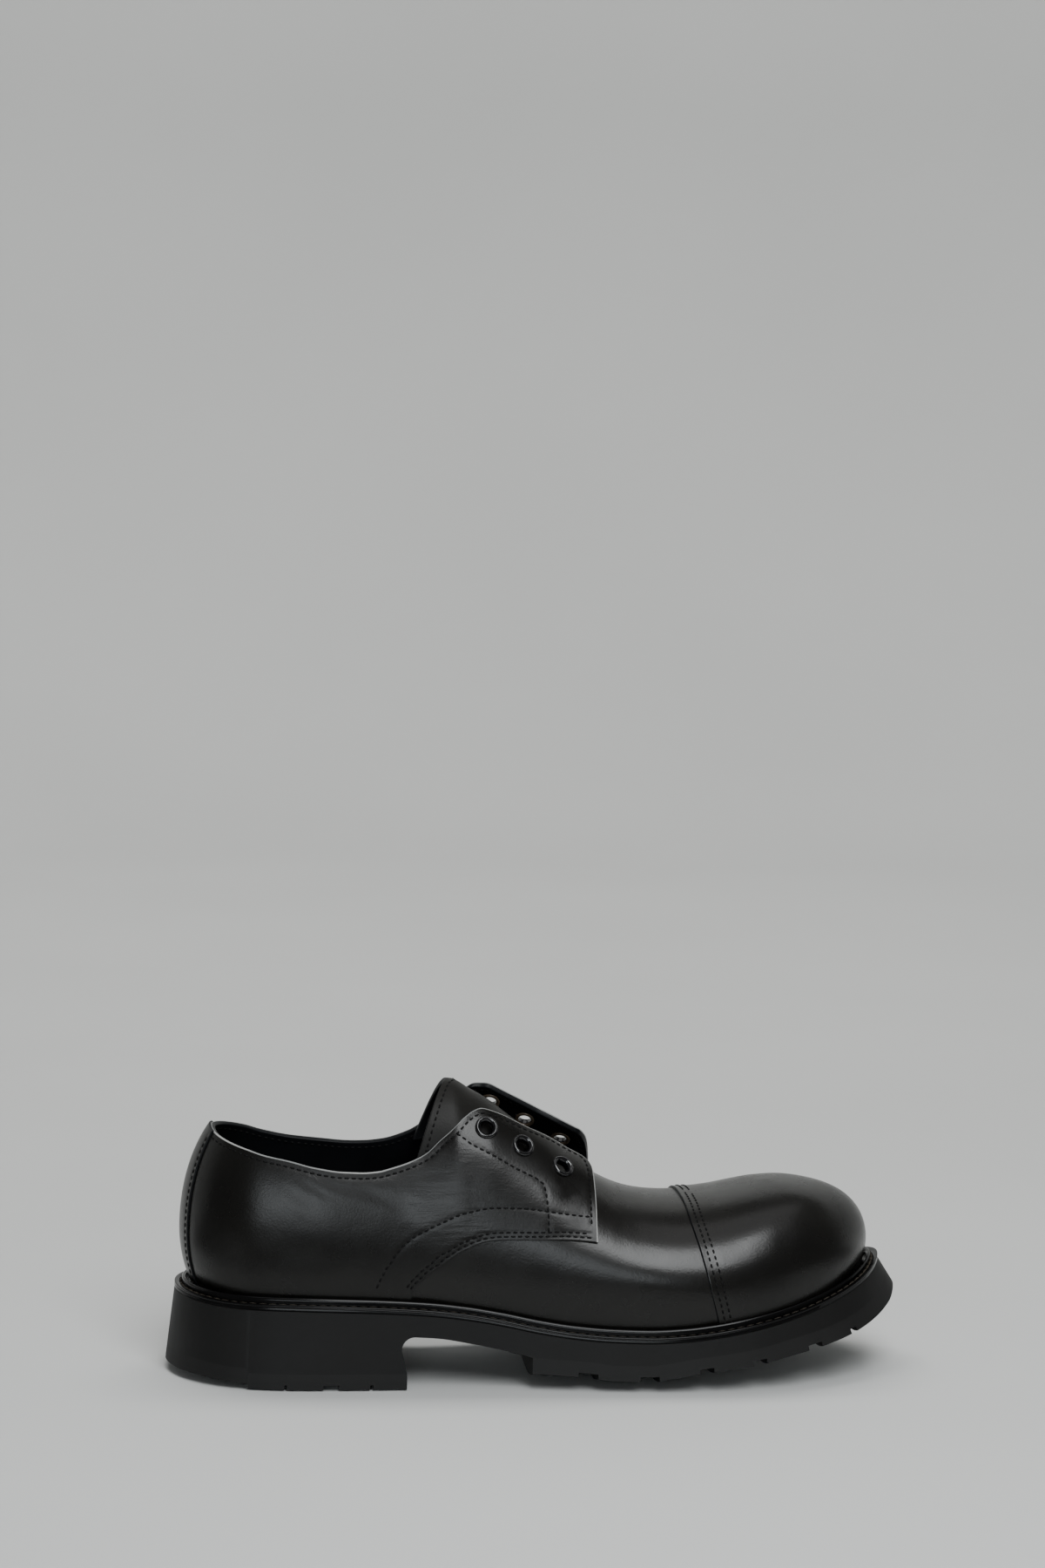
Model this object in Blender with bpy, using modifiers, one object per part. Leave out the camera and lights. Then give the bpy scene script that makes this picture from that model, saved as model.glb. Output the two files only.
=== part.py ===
"""Right derby shoe with no laces: capped vamp, two open flaps, storm welt and a lugged rubber unit."""

import math

import bmesh
import bpy
import numpy as np
from mathutils import Vector

# Driving sizes in metres. X runs from heel to toe, +Y is the inner side of the foot, Z is up.
# The origin is on the floor under the heel's middle lug.
SOLE_LENGTH = 0.3025
SOLE_WIDTH = 0.1090
HEEL_REST = 0.0532
HEEL_HEIGHT = 0.0358
BALL_HEIGHT = 0.0232
TOE_RISE = 0.0243
UPPER_HEIGHT = 0.1213
CLEARANCE = 0.0003

# The leather: how thick each layer is, and how far one stands on the other.
FOOT_MARGIN = 0.0063
BULGE = 0.0059
VAMP_WALL = 0.0020
QUARTER_WALL = 0.0024
QUARTER_STEP = 0.0014
CAP_STEP = 0.0010
BACKSTAY_STEP = 0.0008
BACKSTAY_WIDTH = 0.0220
STEP_RUN = 0.0004
OUTER_FLAP_SPREAD = 0.0060
INNER_FLAP_SPREAD = 0.0150
TONGUE_WALL = 0.0020
TONGUE_RISE = 0.0035

# The welt, as a strip that runs all round under the upper's edge.
WELT_THICKNESS = 0.0022
WELT_BREADTH = 0.0120
LEDGE_BREADTH = 0.0022
GROOVE_DEPTH = 0.0007
BEAD_WIDTH = 0.0028
BEAD_HEIGHT = 0.0025

# The rubber unit, its treads and the boards inside.
TREAD_DEPTH = 0.0065
NOTCH_DEPTH = 0.0019
WALL_FLARE = 0.0036
CROWN_DEPTH = 0.0052
BREAST = 0.0426
BREAST_LEAN = 0.0023
BREAST_FILLET = 0.0055
WAIST_HEIGHT = 0.0224
FORE_TREAD_START = 0.0950
INSOLE_THICKNESS = 0.0030

# The eyelets.
EYELET_BORE = 0.0027
EYELET_TUBE = 0.0034
EYELET_FLANGE = 0.0049
EYELET_LIP = 0.0008
EYELET_SIDES = 12

OUTER, INNER = -1, 1
RIDGE_START = 0.30

# The welt's edge from the heel's back round the outer side to the toe and home on the inner side.
WELT_EDGE = (
    # share of SOLE_LENGTH, share of SOLE_WIDTH
    (-0.0024, 0.012),
    (0.020, -0.165),
    (0.068, -0.285),
    (0.150, -0.350),
    (0.250, -0.362),
    (0.350, -0.362),
    (0.450, -0.378),
    (0.550, -0.410),
    (0.640, -0.438),
    (0.720, -0.446),
    (0.800, -0.422),
    (0.875, -0.358),
    (0.940, -0.245),
    (0.984, -0.090),
    (1.000, 0.075),
    (0.984, 0.220),
    (0.935, 0.370),
    (0.865, 0.480),
    (0.790, 0.527),
    (0.710, 0.534),
    (0.620, 0.492),
    (0.530, 0.420),
    (0.440, 0.352),
    (0.350, 0.328),
    (0.250, 0.342),
    (0.150, 0.342),
    (0.062, 0.297),
    (0.0168, 0.205),
)

# The welt's upper face above the floor.
LEDGE = (
    # share of SOLE_LENGTH, share of the drop from heel to ball, share of TOE_RISE
    (0.00, 1.10, 0.00),
    (0.04, 1.04, 0.00),
    (0.08, 1.01, 0.00),
    (0.15, 1.00, 0.00),
    (0.25, 0.94, 0.00),
    (0.35, 0.81, 0.00),
    (0.40, 0.68, 0.00),
    (0.45, 0.49, 0.00),
    (0.50, 0.26, 0.00),
    (0.55, 0.10, 0.00),
    (0.60, 0.02, 0.00),
    (0.65, 0.00, 0.00),
    (0.70, 0.00, 0.03),
    (0.75, 0.00, 0.10),
    (0.80, 0.00, 0.20),
    (0.85, 0.00, 0.33),
    (0.90, 0.00, 0.50),
    (0.95, 0.00, 0.70),
    (0.975, 0.00, 0.82),
    (1.00, 0.00, 1.00),
)

# How far the upper's foot stands in from the welt's edge.
MARGIN = (
    # share of SOLE_LENGTH, share of FOOT_MARGIN
    (0.00, 1.52),
    (0.10, 1.24),
    (0.30, 1.20),
    (0.40, 1.00),
    (0.90, 1.00),
    (1.00, 1.38),
)

# Where each section of the last meets the ridge: the sections fan out at the heel and at the toe.
SPINE = (
    # share of the foot line, share of SOLE_LENGTH
    (0.00, 0.130),
    (0.08, 0.132),
    (0.155, 0.145),
    (0.22, 0.198),
    (0.30, 0.289),
    (0.50, 0.508),
    (0.74, 0.766),
    (0.80, 0.822),
    (0.86, 0.842),
    (0.92, 0.845),
    (1.00, 0.845),
)

# The last's ridge above the floor. Behind the throat it closes the opening and no leather follows it.
RIDGE = (
    # share of SOLE_LENGTH, share of UPPER_HEIGHT
    (0.000, 0.981),
    (0.243, 0.981),
    (0.326, 0.993),
    (0.376, 1.000),
    (0.402, 0.969),
    (0.426, 0.937),
    (0.459, 0.881),
    (0.509, 0.800),
    (0.542, 0.742),
    (0.575, 0.696),
    (0.597, 0.667),
    (0.618, 0.642),
    (0.645, 0.620),
    (0.675, 0.607),
    (0.701, 0.603),
    (0.731, 0.603),
    (0.758, 0.609),
    (0.794, 0.625),
    (0.827, 0.640),
    (0.845, 0.645),
    (1.000, 0.645),
)

# Each section's side: how far it stands out past its foot, how high that is, and how square it is above.
SECTION = (
    # share of the foot line, share of BULGE, share of UPPER_HEIGHT, squareness
    (0.00, 0.95, 0.503, 2.00),
    (0.08, 0.70, 0.495, 2.00),
    (0.155, 0.40, 0.478, 2.00),
    (0.30, 0.32, 0.445, 2.00),
    (0.45, 0.38, 0.404, 2.00),
    (0.60, 0.40, 0.363, 2.10),
    (0.70, 0.40, 0.346, 2.35),
    (0.80, 0.38, 0.387, 2.70),
    (0.90, 0.40, 0.437, 3.00),
    (1.00, 0.42, 0.445, 3.00),
)

# The upper edge of the quarters: round the collar and up along each flap to its front corner.
TOPLINE = {
    OUTER: (
        # share of the foot line, share of the section from foot to ridge
        (0.000, 0.672),
        (0.052, 0.645),
        (0.106, 0.615),
        (0.131, 0.599),
        (0.165, 0.585),
        (0.202, 0.564),
        (0.238, 0.554),
        (0.257, 0.554),
        (0.281, 0.559),
        (0.298, 0.570),
        (0.321, 0.589),
        (0.344, 0.619),
        (0.361, 0.660),
        (0.380, 0.705),
        (0.393, 0.756),
        (0.405, 0.798),
        (0.417, 0.824),
        (0.427, 0.831),
        (0.450, 0.852),
        (0.474, 0.863),
        (0.498, 0.884),
        (0.523, 0.907),
        (0.547, 0.915),
        (0.556, 0.900),
        (0.560, 0.870),
        (0.562, 0.825),
    ),
    INNER: (
        (0.000, 0.672),
        (0.050, 0.658),
        (0.100, 0.630),
        (0.129, 0.607),
        (0.171, 0.586),
        (0.209, 0.577),
        (0.247, 0.571),
        (0.271, 0.574),
        (0.296, 0.583),
        (0.321, 0.605),
        (0.342, 0.635),
        (0.362, 0.690),
        (0.385, 0.755),
        (0.404, 0.797),
        (0.414, 0.822),
        (0.424, 0.830),
        (0.437, 0.847),
        (0.465, 0.849),
        (0.499, 0.852),
        (0.533, 0.875),
        (0.555, 0.872),
        (0.566, 0.835),
        (0.573, 0.780),
        (0.578, 0.700),
    ),
}

# The lower edge of the quarters, where they lie on the vamp. Behind it they reach the welt.
SEAM = (
    # share of the foot line, share of the section from foot to ridge
    (0.322, 0.000),
    (0.325, 0.098),
    (0.339, 0.200),
    (0.354, 0.276),
    (0.377, 0.328),
    (0.399, 0.360),
    (0.417, 0.382),
    (0.445, 0.402),
    (0.491, 0.433),
    (0.536, 0.476),
    (0.562, 0.493),
    (0.580, 0.500),
)

# How far each flap stands off the foot along its length.
SPREAD = {
    OUTER: ((0.34, 0.0), (0.36, 0.18), (0.40, 0.75), (0.43, 1.0), (0.58, 1.0)),
    INNER: ((0.33, 0.0), (0.36, 0.14), (0.40, 0.53), (0.43, 0.8), (0.50, 0.93), (0.58, 1.0)),
}
SPREAD_FOOT = 0.45
SPREAD_TOP = 0.90

# The vamp's rear edge under the flaps, and the edge of the cap across the toe.
VAMP_REAR = (
    # share of the section from foot to ridge, share of the foot line
    (0.00, 0.287),
    (0.10, 0.293),
    (0.20, 0.303),
    (0.30, 0.318),
    (0.40, 0.345),
    (0.46, 0.375),
    (0.50, 0.405),
    (0.54, 0.445),
    (0.58, 0.490),
    (0.64, 0.520),
    (0.75, 0.535),
    (1.00, 0.545),
)
CAP_EDGE = (
    # share of the section from foot to ridge, share of the foot line
    (0.00, 0.7225),
    (0.09, 0.7190),
    (0.36, 0.7060),
    (0.53, 0.6970),
    (0.75, 0.6885),
    (1.00, 0.6855),
)

# The tongue: where its root, its tip and its corners are, and how it rises off the foot.
TONGUE_ROOT = 0.590
TONGUE_TIP = 0.377
TONGUE_CORNERS = {
    # share of the foot line that the corner lies behind the tip, and how hollow the edge between them is
    OUTER: (0.046, 1.1),
    INNER: (0.043, 1.5),
}
TONGUE_EDGE = 0.60
TONGUE_ROOT_EDGE = 0.74
TONGUE_LIFT = (
    # share of the foot line, share of TONGUE_RISE above the foot
    (0.377, 1.00),
    (0.440, 0.74),
    (0.470, 0.50),
    (0.500, -0.12),
    (0.525, -1.00),
    (0.590, -1.00),
)

# The eyelets on each flap: share of the foot line and share of the section from foot to ridge.
EYELETS = {
    OUTER: ((0.421, 0.750), (0.468, 0.757), (0.520, 0.764)),
    INNER: ((0.439, 0.778), (0.487, 0.772), (0.537, 0.770)),
}

# The unit's lower edge above the floor, and how far its middle hangs below that edge.
BEVEL_STEP = (0.0996, 0.1003)
FLOOR_EDGE = (
    # share of SOLE_LENGTH, share of HEEL_HEIGHT above the middle's hang
    (0.000, 0.112),
    (0.031, 0.095),
    (0.074, 0.061),
    (BEVEL_STEP[0], 0.056),
    (BEVEL_STEP[1], 0.0),
    (0.400, 0.0),
    (0.492, 0.078),
    (0.525, 0.058),
    (0.581, 0.022),
    (0.598, 0.0),
    (0.655, 0.0),
    (0.673, 0.022),
    (0.714, 0.086),
    (0.790, 0.178),
    (0.841, 0.279),
    (0.877, 0.352),
    (0.920, 0.462),
    (0.962, 0.625),
    (0.986, 0.775),
    (1.000, 0.950),
)
CROWN = (
    # share of SOLE_LENGTH, share of CROWN_DEPTH
    (0.000, 0.000),
    (0.060, 0.115),
    (0.323, 0.115),
    (0.426, 0.462),
    (0.492, 0.923),
    (0.575, 1.000),
    (0.655, 1.000),
    (0.830, 0.900),
    (0.930, 0.640),
    (0.980, 0.320),
    (1.000, 0.000),
)
WAIST = (
    # share from the breast to the fore tread, share of WAIST_HEIGHT
    (0.00, 1.000),
    (0.20, 0.973),
    (0.47, 0.880),
    (0.76, 0.759),
    (1.00, 0.640),
)
FLARE = (
    # share of SOLE_LENGTH, share of WALL_FLARE
    (0.00, 1.00),
    (0.10, 0.70),
    (0.30, 0.50),
    (0.50, 0.45),
    (0.80, 0.55),
    (0.93, 0.50),
    (1.00, 0.45),
)

# The channels across the treads, from and to, as shares of SOLE_LENGTH.
HEEL_CHANNELS = ((0.149, 0.152), (0.202, 0.223), (0.266, 0.270))
FORE_CHANNELS = (
    (0.553, 0.580),
    (0.638, 0.664),
    (0.718, 0.736),
    (0.788, 0.806),
    (0.864, 0.882),
    (0.924, 0.932),
)
ACROSS = (-1.0, -0.72, -0.4, 0.4, 0.72, 1.0)
FLAT_SHARE = 0.4
SPRING_REACH = 0.10


def curve(table, x, column=1):
    """Monotone cubic through two columns of a table: it never swings past its points."""
    rows = np.array(table, float)
    xs, ys = rows[:, 0], rows[:, column]
    x = np.clip(np.asarray(x, float), xs[0], xs[-1])
    run = np.diff(xs)
    slope = np.diff(ys) / run
    ends = np.zeros_like(ys)
    ends[0], ends[-1] = slope[0], slope[-1]
    for i in range(1, len(xs) - 1):
        if slope[i - 1] * slope[i] > 0:
            near = 2 * run[i] + run[i - 1]
            far = run[i] + 2 * run[i - 1]
            ends[i] = (near + far) / (near / slope[i - 1] + far / slope[i])
    k = np.clip(np.searchsorted(xs, x, side="right") - 1, 0, len(xs) - 2)
    t = (x - xs[k]) / run[k]
    return (
        (1 + 2 * t) * (1 - t) ** 2 * ys[k]
        + t * (1 - t) ** 2 * run[k] * ends[k]
        + t * t * (3 - 2 * t) * ys[k + 1]
        + t * t * (t - 1) * run[k] * ends[k + 1]
    )


def along(x):
    """Share of the sole's length at x."""
    return (np.asarray(x, float) + HEEL_REST) / SOLE_LENGTH


def closed_spline(points, count):
    """A smooth closed curve through the points, read at count places spaced by its own length."""
    p = np.asarray(points, float)
    n = len(p)
    chord = np.linalg.norm(np.roll(p, -1, 0) - p, axis=1)
    system = np.zeros((n, n))
    wanted = np.zeros((n, 2))
    for i in range(n):
        before, after, ahead = chord[i - 1], chord[i], (i + 1) % n
        system[i, i - 1] = after
        system[i, i] = 2 * (before + after)
        system[i, ahead] = before
        wanted[i] = 3 * (after * (p[i] - p[i - 1]) / before + before * (p[ahead] - p[i]) / after)
    slope = np.linalg.solve(system, wanted)
    t = np.linspace(0, 1, 24, endpoint=False)[:, None]
    pieces = []
    for i in range(n):
        j = (i + 1) % n
        pieces.append(
            (1 + 2 * t) * (1 - t) ** 2 * p[i]
            + t * (1 - t) ** 2 * chord[i] * slope[i]
            + t * t * (3 - 2 * t) * p[j]
            + t * t * (t - 1) * chord[i] * slope[j]
        )
    dense = np.vstack(pieces + [p[:1]])
    run = np.concatenate([[0], np.cumsum(np.linalg.norm(np.diff(dense, axis=0), axis=1))])
    want = np.linspace(0, run[-1], count, endpoint=False)
    return np.column_stack([np.interp(want, run, dense[:, k]) for k in (0, 1)])


def outward(loop):
    """Unit normals of a loop in plan, pointing away from its middle."""
    ahead = np.roll(loop, -1, 0) - np.roll(loop, 1, 0)
    ahead /= np.linalg.norm(ahead, axis=1)[:, None]
    normals = np.column_stack([ahead[:, 1], -ahead[:, 0]])
    if ((loop - loop.mean(0)) * normals).sum() < 0:
        normals = -normals
    return normals


def sides(loop, values=None):
    """A loop, or values along it, split at its tip into two runs from heel to toe."""
    values = loop if values is None else values
    tip = int(np.argmax(loop[:, 0]))
    return {OUTER: values[: tip + 1], INNER: np.vstack([values[tip:], values[:1]])[::-1]}


def ledge(x):
    """Height of the welt's upper face at x."""
    share = along(x)
    drop = (HEEL_HEIGHT - BALL_HEIGHT) * curve(LEDGE, share, 1)
    return BALL_HEIGHT + drop + TOE_RISE * curve(LEDGE, share, 2)


EDGE_LOOP = closed_spline([(a * SOLE_LENGTH - HEEL_REST, b * SOLE_WIDTH) for a, b in WELT_EDGE], 720)
EDGE_NORMALS = outward(EDGE_LOOP)
FOOT_LOOP = EDGE_LOOP - EDGE_NORMALS * (FOOT_MARGIN * curve(MARGIN, along(EDGE_LOOP[:, 0])))[:, None]
FOOT_SIDES = sides(FOOT_LOOP)
FOOT_LENGTH = np.linalg.norm(np.diff(FOOT_SIDES[OUTER], axis=0), axis=1).sum()


def foot_point(side, share):
    """A point of the upper's foot line in plan, by the share of that side's length."""
    run = FOOT_SIDES[side]
    length = np.concatenate([[0], np.cumsum(np.linalg.norm(np.diff(run, axis=0), axis=1))])
    length /= length[-1]
    return np.stack([np.interp(share, length, run[:, k]) for k in (0, 1)], -1)


def middle(x):
    """Middle of the foot line across the shoe at x."""
    ends = [np.interp(x, FOOT_SIDES[side][:, 0], FOOT_SIDES[side][:, 1]) for side in (OUTER, INNER)]
    return (ends[0] + ends[1]) / 2


def last_point(w, t):
    """Surface of the last: w runs 0 to 1 up the outer side and 1 to 2 home, t from foot to ridge."""
    w, t = np.broadcast_arrays(np.mod(w, 2.0), np.clip(t, 0.0, 1.0))
    outer_side = w <= 1
    share = np.where(outer_side, w, 2 - w)
    foot = np.where(outer_side[..., None], foot_point(OUTER, share), foot_point(INNER, share))
    spine_x = curve(SPINE, share) * SOLE_LENGTH - HEEL_REST
    spine = np.stack([spine_x, middle(spine_x)], -1)
    top = curve(RIDGE, along(spine_x)) * UPPER_HEIGHT
    reach = np.linalg.norm(foot - spine, axis=-1)
    heading = (foot - spine) / reach[..., None]
    widest = reach + BULGE * curve(SECTION, share, 1)
    base = ledge(foot[..., 0])
    belly = curve(SECTION, share, 2) * UPPER_HEIGHT
    square = curve(SECTION, share, 3)
    low = np.clip(t / RIDGE_START, 0, 1)
    turn = np.clip((t - RIDGE_START) / (1 - RIDGE_START), 0, 1) * math.pi / 2
    knee = base + 0.45 * (belly - base)
    low_out = reach * (1 - low) ** 2 + widest * (2 * low * (1 - low) + low * low)
    low_up = base * (1 - low) ** 2 + knee * 2 * low * (1 - low) + belly * low * low
    high_out = widest * np.maximum(np.cos(turn), 0) ** (2 / square)
    high_up = belly + (top - belly) * np.sin(turn)
    is_low = t < RIDGE_START
    out = np.where(is_low, low_out, high_out)
    up = np.where(is_low, low_up, high_up)
    plan = spine + heading * out[..., None]
    return np.concatenate([plan, up[..., None]], -1)


def last_normal(w, t):
    """Outward unit normals of the last, level along its foot."""
    nudge = 1e-4
    t = np.clip(t, nudge, 1 - 10 * nudge)
    across = last_point(w, t + nudge) - last_point(w, t - nudge)
    lengthwise = last_point(w + nudge, t) - last_point(w - nudge, t)
    normal = np.cross(lengthwise, across)
    normal /= np.maximum(np.linalg.norm(normal, axis=-1), 1e-12)[..., None]
    here = last_point(w, t)
    spine_start, spine_end = (row[1] * SOLE_LENGTH - HEEL_REST for row in (SPINE[0], SPINE[-1]))
    core_x = np.clip(here[..., 0], spine_start, spine_end)
    core = np.stack([core_x, middle(here[..., 0]), np.full(core_x.shape, HEEL_HEIGHT)], -1)
    facing = ((here - core) * normal).sum(-1)
    normal[facing < 0] *= -1
    return normal


def spread(w, t):
    """How the open flaps are carried off the last: sideways and up, never lengthwise."""
    way = last_normal(w, t)
    way[..., 0] = 0
    way /= np.linalg.norm(way, axis=-1)[..., None]
    return way * flap_lift(w, t)[..., None]


def offset_point(w, t, lift, open_flaps=False):
    """Points of the last, or of its open flaps, moved out by lift along the last's normals."""
    w, t, lift = np.broadcast_arrays(np.asarray(w, float), np.asarray(t, float), np.asarray(lift, float))
    points = last_point(w, t)
    normals = last_normal(w, t)
    foot = t <= 0
    normals[foot, 2] = 0
    normals[foot] /= np.linalg.norm(normals[foot], axis=-1)[:, None]
    flat = points.reshape(-1, 3)
    groups = {}
    for i, key in enumerate(map(tuple, np.round(flat * 1e6).astype(int))):
        groups.setdefault(key, []).append(i)
    shared = normals.reshape(-1, 3)
    for members in groups.values():
        if len(members) > 1:
            mean = shared[members].mean(0)
            shared[members] = mean / np.linalg.norm(mean)
    moved = points + shared.reshape(points.shape) * lift[..., None]
    moved[foot, 2] = ledge(moved[foot, 0])
    return moved + spread(w, t) if open_flaps else moved


def flap_lift(w, t):
    """How far the open flaps stand off the last."""
    w, t = np.broadcast_arrays(w, t)
    w = np.mod(w, 2.0)
    share = np.where(w <= 1, w, 2 - w)
    outer = OUTER_FLAP_SPREAD * curve(SPREAD[OUTER], share)
    inner = INNER_FLAP_SPREAD * curve(SPREAD[INNER], share)
    rise = np.clip((t - SPREAD_FOOT) / (SPREAD_TOP - SPREAD_FOOT), 0, 1)
    return np.where(w <= 1, outer, inner) * rise * rise * (3 - 2 * rise)


def material(name, colour, roughness, metallic=0.0):
    made = bpy.data.materials.new(name)
    made.use_nodes = True
    shader = made.node_tree.nodes["Principled BSDF"]
    shader.inputs["Base Color"].default_value = (*colour, 1)
    shader.inputs["Roughness"].default_value = roughness
    shader.inputs["Metallic"].default_value = metallic
    return made


def mesh_object(name, points, faces, collection, look=None, smooth=True):
    """One closed object from points and faces, welded and facing out."""
    mesh = bpy.data.meshes.new(name)
    shape = bmesh.new()
    verts = [shape.verts.new(p) for p in points]
    for face in faces:
        shape.faces.new([verts[i] for i in face])
    bmesh.ops.remove_doubles(shape, verts=shape.verts, dist=1e-6)
    bmesh.ops.dissolve_degenerate(shape, dist=1e-7, edges=shape.edges)
    bmesh.ops.recalc_face_normals(shape, faces=shape.faces)
    if shape.calc_volume(signed=True) < 0:
        bmesh.ops.reverse_faces(shape, faces=shape.faces)
    shape.to_mesh(mesh)
    shape.free()
    mesh.polygons.foreach_set("use_smooth", [smooth] * len(mesh.polygons))
    made = bpy.data.objects.new(name, mesh)
    collection.objects.link(made)
    if look:
        mesh.materials.append(look)
    return made


def sheet(name, outer, inner, collection, look=None, ridge_joined=False):
    """A wall between two grids of points. With ridge_joined its last row meets itself."""
    rows, cols = outer.shape[:2]
    points = np.vstack([outer.reshape(-1, 3), inner.reshape(-1, 3)])
    back = rows * cols
    faces = []
    for i in range(rows - 1):
        for j in range(cols - 1):
            a, b, c, d = i * cols + j, (i + 1) * cols + j, (i + 1) * cols + j + 1, i * cols + j + 1
            faces.append((a, b, c, d))
            faces.append((back + d, back + c, back + b, back + a))
    for i in range(rows - 1):
        rims = [0] if ridge_joined else [0, cols - 1]
        for j in rims:
            a, b = i * cols + j, (i + 1) * cols + j
            faces.append((a, b, back + b, back + a))
    for j in range(cols - 1):
        for i in (0, rows - 1):
            a, b = i * cols + j, i * cols + j + 1
            faces.append((a, b, back + b, back + a))
    return mesh_object(name, points, faces, collection, look)


def ladder(name, upper, lower, collection, look):
    """A solid between two grids of points that run station by station from heel to toe."""
    stations, across = upper.shape[:2]
    loops = np.concatenate([upper, lower[:, ::-1]], 1)
    ring = 2 * across
    points = loops.reshape(-1, 3)
    faces = []
    for k in range(stations - 1):
        for j in range(ring):
            n = (j + 1) % ring
            faces.append((k * ring + j, k * ring + n, (k + 1) * ring + n, (k + 1) * ring + j))
    for k in (0, stations - 1):
        if np.ptp(upper[k], axis=0).max() > CLEARANCE:
            for j in range(across - 1):
                a, b = k * ring + j, k * ring + j + 1
                faces.append((a, b, k * ring + ring - 2 - j, k * ring + ring - 1 - j))
    return mesh_object(name, points, faces, collection, look, smooth=False)


def combine(target, cutter, operation):
    """Apply an exact boolean and keep the result as the target's mesh."""
    step = target.modifiers.new(operation.lower(), "BOOLEAN")
    step.operation = operation
    step.solver = "EXACT"
    step.object = cutter
    bpy.context.view_layer.update()
    evaluated = target.evaluated_get(bpy.context.evaluated_depsgraph_get())
    result = bpy.data.meshes.new_from_object(evaluated)
    target.modifiers.clear()
    target.data = result


def build_quarter(collection):
    """Both quarters as one wall round the heel, from one flap's front edge to the other's."""
    heel_turn = BACKSTAY_WIDTH / 2 / FOOT_LENGTH
    half_step = STEP_RUN / 2 / FOOT_LENGTH
    strip = [0.0, heel_turn / 2, heel_turn - half_step, heel_turn + half_step]
    rest = [0.06, 0.085, 0.11, 0.135, 0.16, 0.19, 0.22, 0.25, 0.28, 0.30, 0.322, 0.325, 0.334, 0.345]
    rest += [0.358, 0.372, 0.386, 0.40, 0.413, 0.425, 0.437, 0.452, 0.47, 0.49, 0.51, 0.53, 0.547, 0.556]
    up = np.linspace(0, 1, 10)
    grids = {}
    for side in (OUTER, INNER):
        share = np.array(strip + rest + [TOPLINE[side][-1][0]])
        top, bottom = curve(TOPLINE[side], share), curve(SEAM, share)
        t = bottom[:, None] + (top - bottom)[:, None] * up[None, :]
        w = share if side == OUTER else 2 - share
        grids[side] = (np.repeat(w[:, None], len(up), 1), t)
    w = np.vstack([grids[INNER][0][:0:-1] - 2, grids[OUTER][0]])
    t = np.vstack([grids[INNER][1][:0:-1], grids[OUTER][1]])
    stay = np.where(np.abs(w) < heel_turn, BACKSTAY_STEP, 0.0)
    outer = offset_point(w, t, QUARTER_STEP + stay, open_flaps=True)
    inner = offset_point(w, t, QUARTER_STEP - QUARTER_WALL, open_flaps=True)
    return sheet("quarter", outer, inner, collection)


def build_vamp(collection):
    """The vamp with its cap as a step, closed over the toe and along the ridge."""
    rise = np.array([0, 0.08, 0.17, 0.30, 0.40, 0.50, 0.58, 0.66, 0.74, 0.82, 0.89, 0.95, 0.985, 1.0])
    rear, cap = curve(VAMP_REAR, rise), curve(CAP_EDGE, rise)
    toe = cap + STEP_RUN / FOOT_LENGTH
    behind = (0, 0.12, 0.24, 0.36, 0.48, 0.60, 0.72, 0.86, 1)
    ahead = (0, 0.12, 0.24, 0.36, 0.48, 0.60, 0.72, 0.84, 0.93, 1)
    columns = [rear + (cap - rear) * part for part in behind]
    columns += [toe + (1 - toe) * part for part in ahead]
    share = np.array(columns)
    raised = np.repeat((np.arange(len(columns)) >= len(behind))[:, None], len(rise), 1)
    w = np.vstack([share, 2 - share[-2::-1]])
    raised = np.vstack([raised, raised[-2::-1]])
    t = np.repeat(rise[None, :], len(w), 0)
    outer = offset_point(w, t, np.where(raised, CAP_STEP, 0.0))
    inner = offset_point(w, t, np.full(w.shape, -VAMP_WALL))
    return sheet("upper", outer, inner, collection, ridge_joined=True)


def eyelet_seat(side, share, t):
    """Middle of a flap's wall at an eyelet, and the way that the eyelet faces."""
    w = share if side == OUTER else 2 - share
    grid_w = w + np.array([0, 0.004, -0.004, 0, 0])
    grid_t = t + np.array([0, 0, 0, 0.02, -0.02])
    spots = offset_point(grid_w, grid_t, QUARTER_STEP - QUARTER_WALL / 2, open_flaps=True)
    facing = np.cross(spots[1] - spots[2], spots[3] - spots[4])
    facing /= np.linalg.norm(facing)
    if facing[2] < 0:
        facing = -facing
    return spots[0], facing


def place(name, mesh, centre, facing, collection):
    """An object of the mesh, stood with its own Z along the way it faces."""
    made = bpy.data.objects.new(name, mesh)
    made.location = centre
    made.rotation_mode = "QUATERNION"
    made.rotation_quaternion = Vector(facing).to_track_quat("Z", "Y")
    collection.objects.link(made)
    return made


def hole_mesh():
    """The rod that cuts an eyelet's hole."""
    mesh = bpy.data.meshes.new("hole")
    radius = EYELET_TUBE + CLEARANCE
    shape = bmesh.new()
    bmesh.ops.create_cone(
        shape,
        cap_ends=True,
        segments=EYELET_SIDES,
        radius1=radius,
        radius2=radius,
        depth=4 * QUARTER_WALL,
    )
    shape.to_mesh(mesh)
    shape.free()
    return mesh


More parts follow.
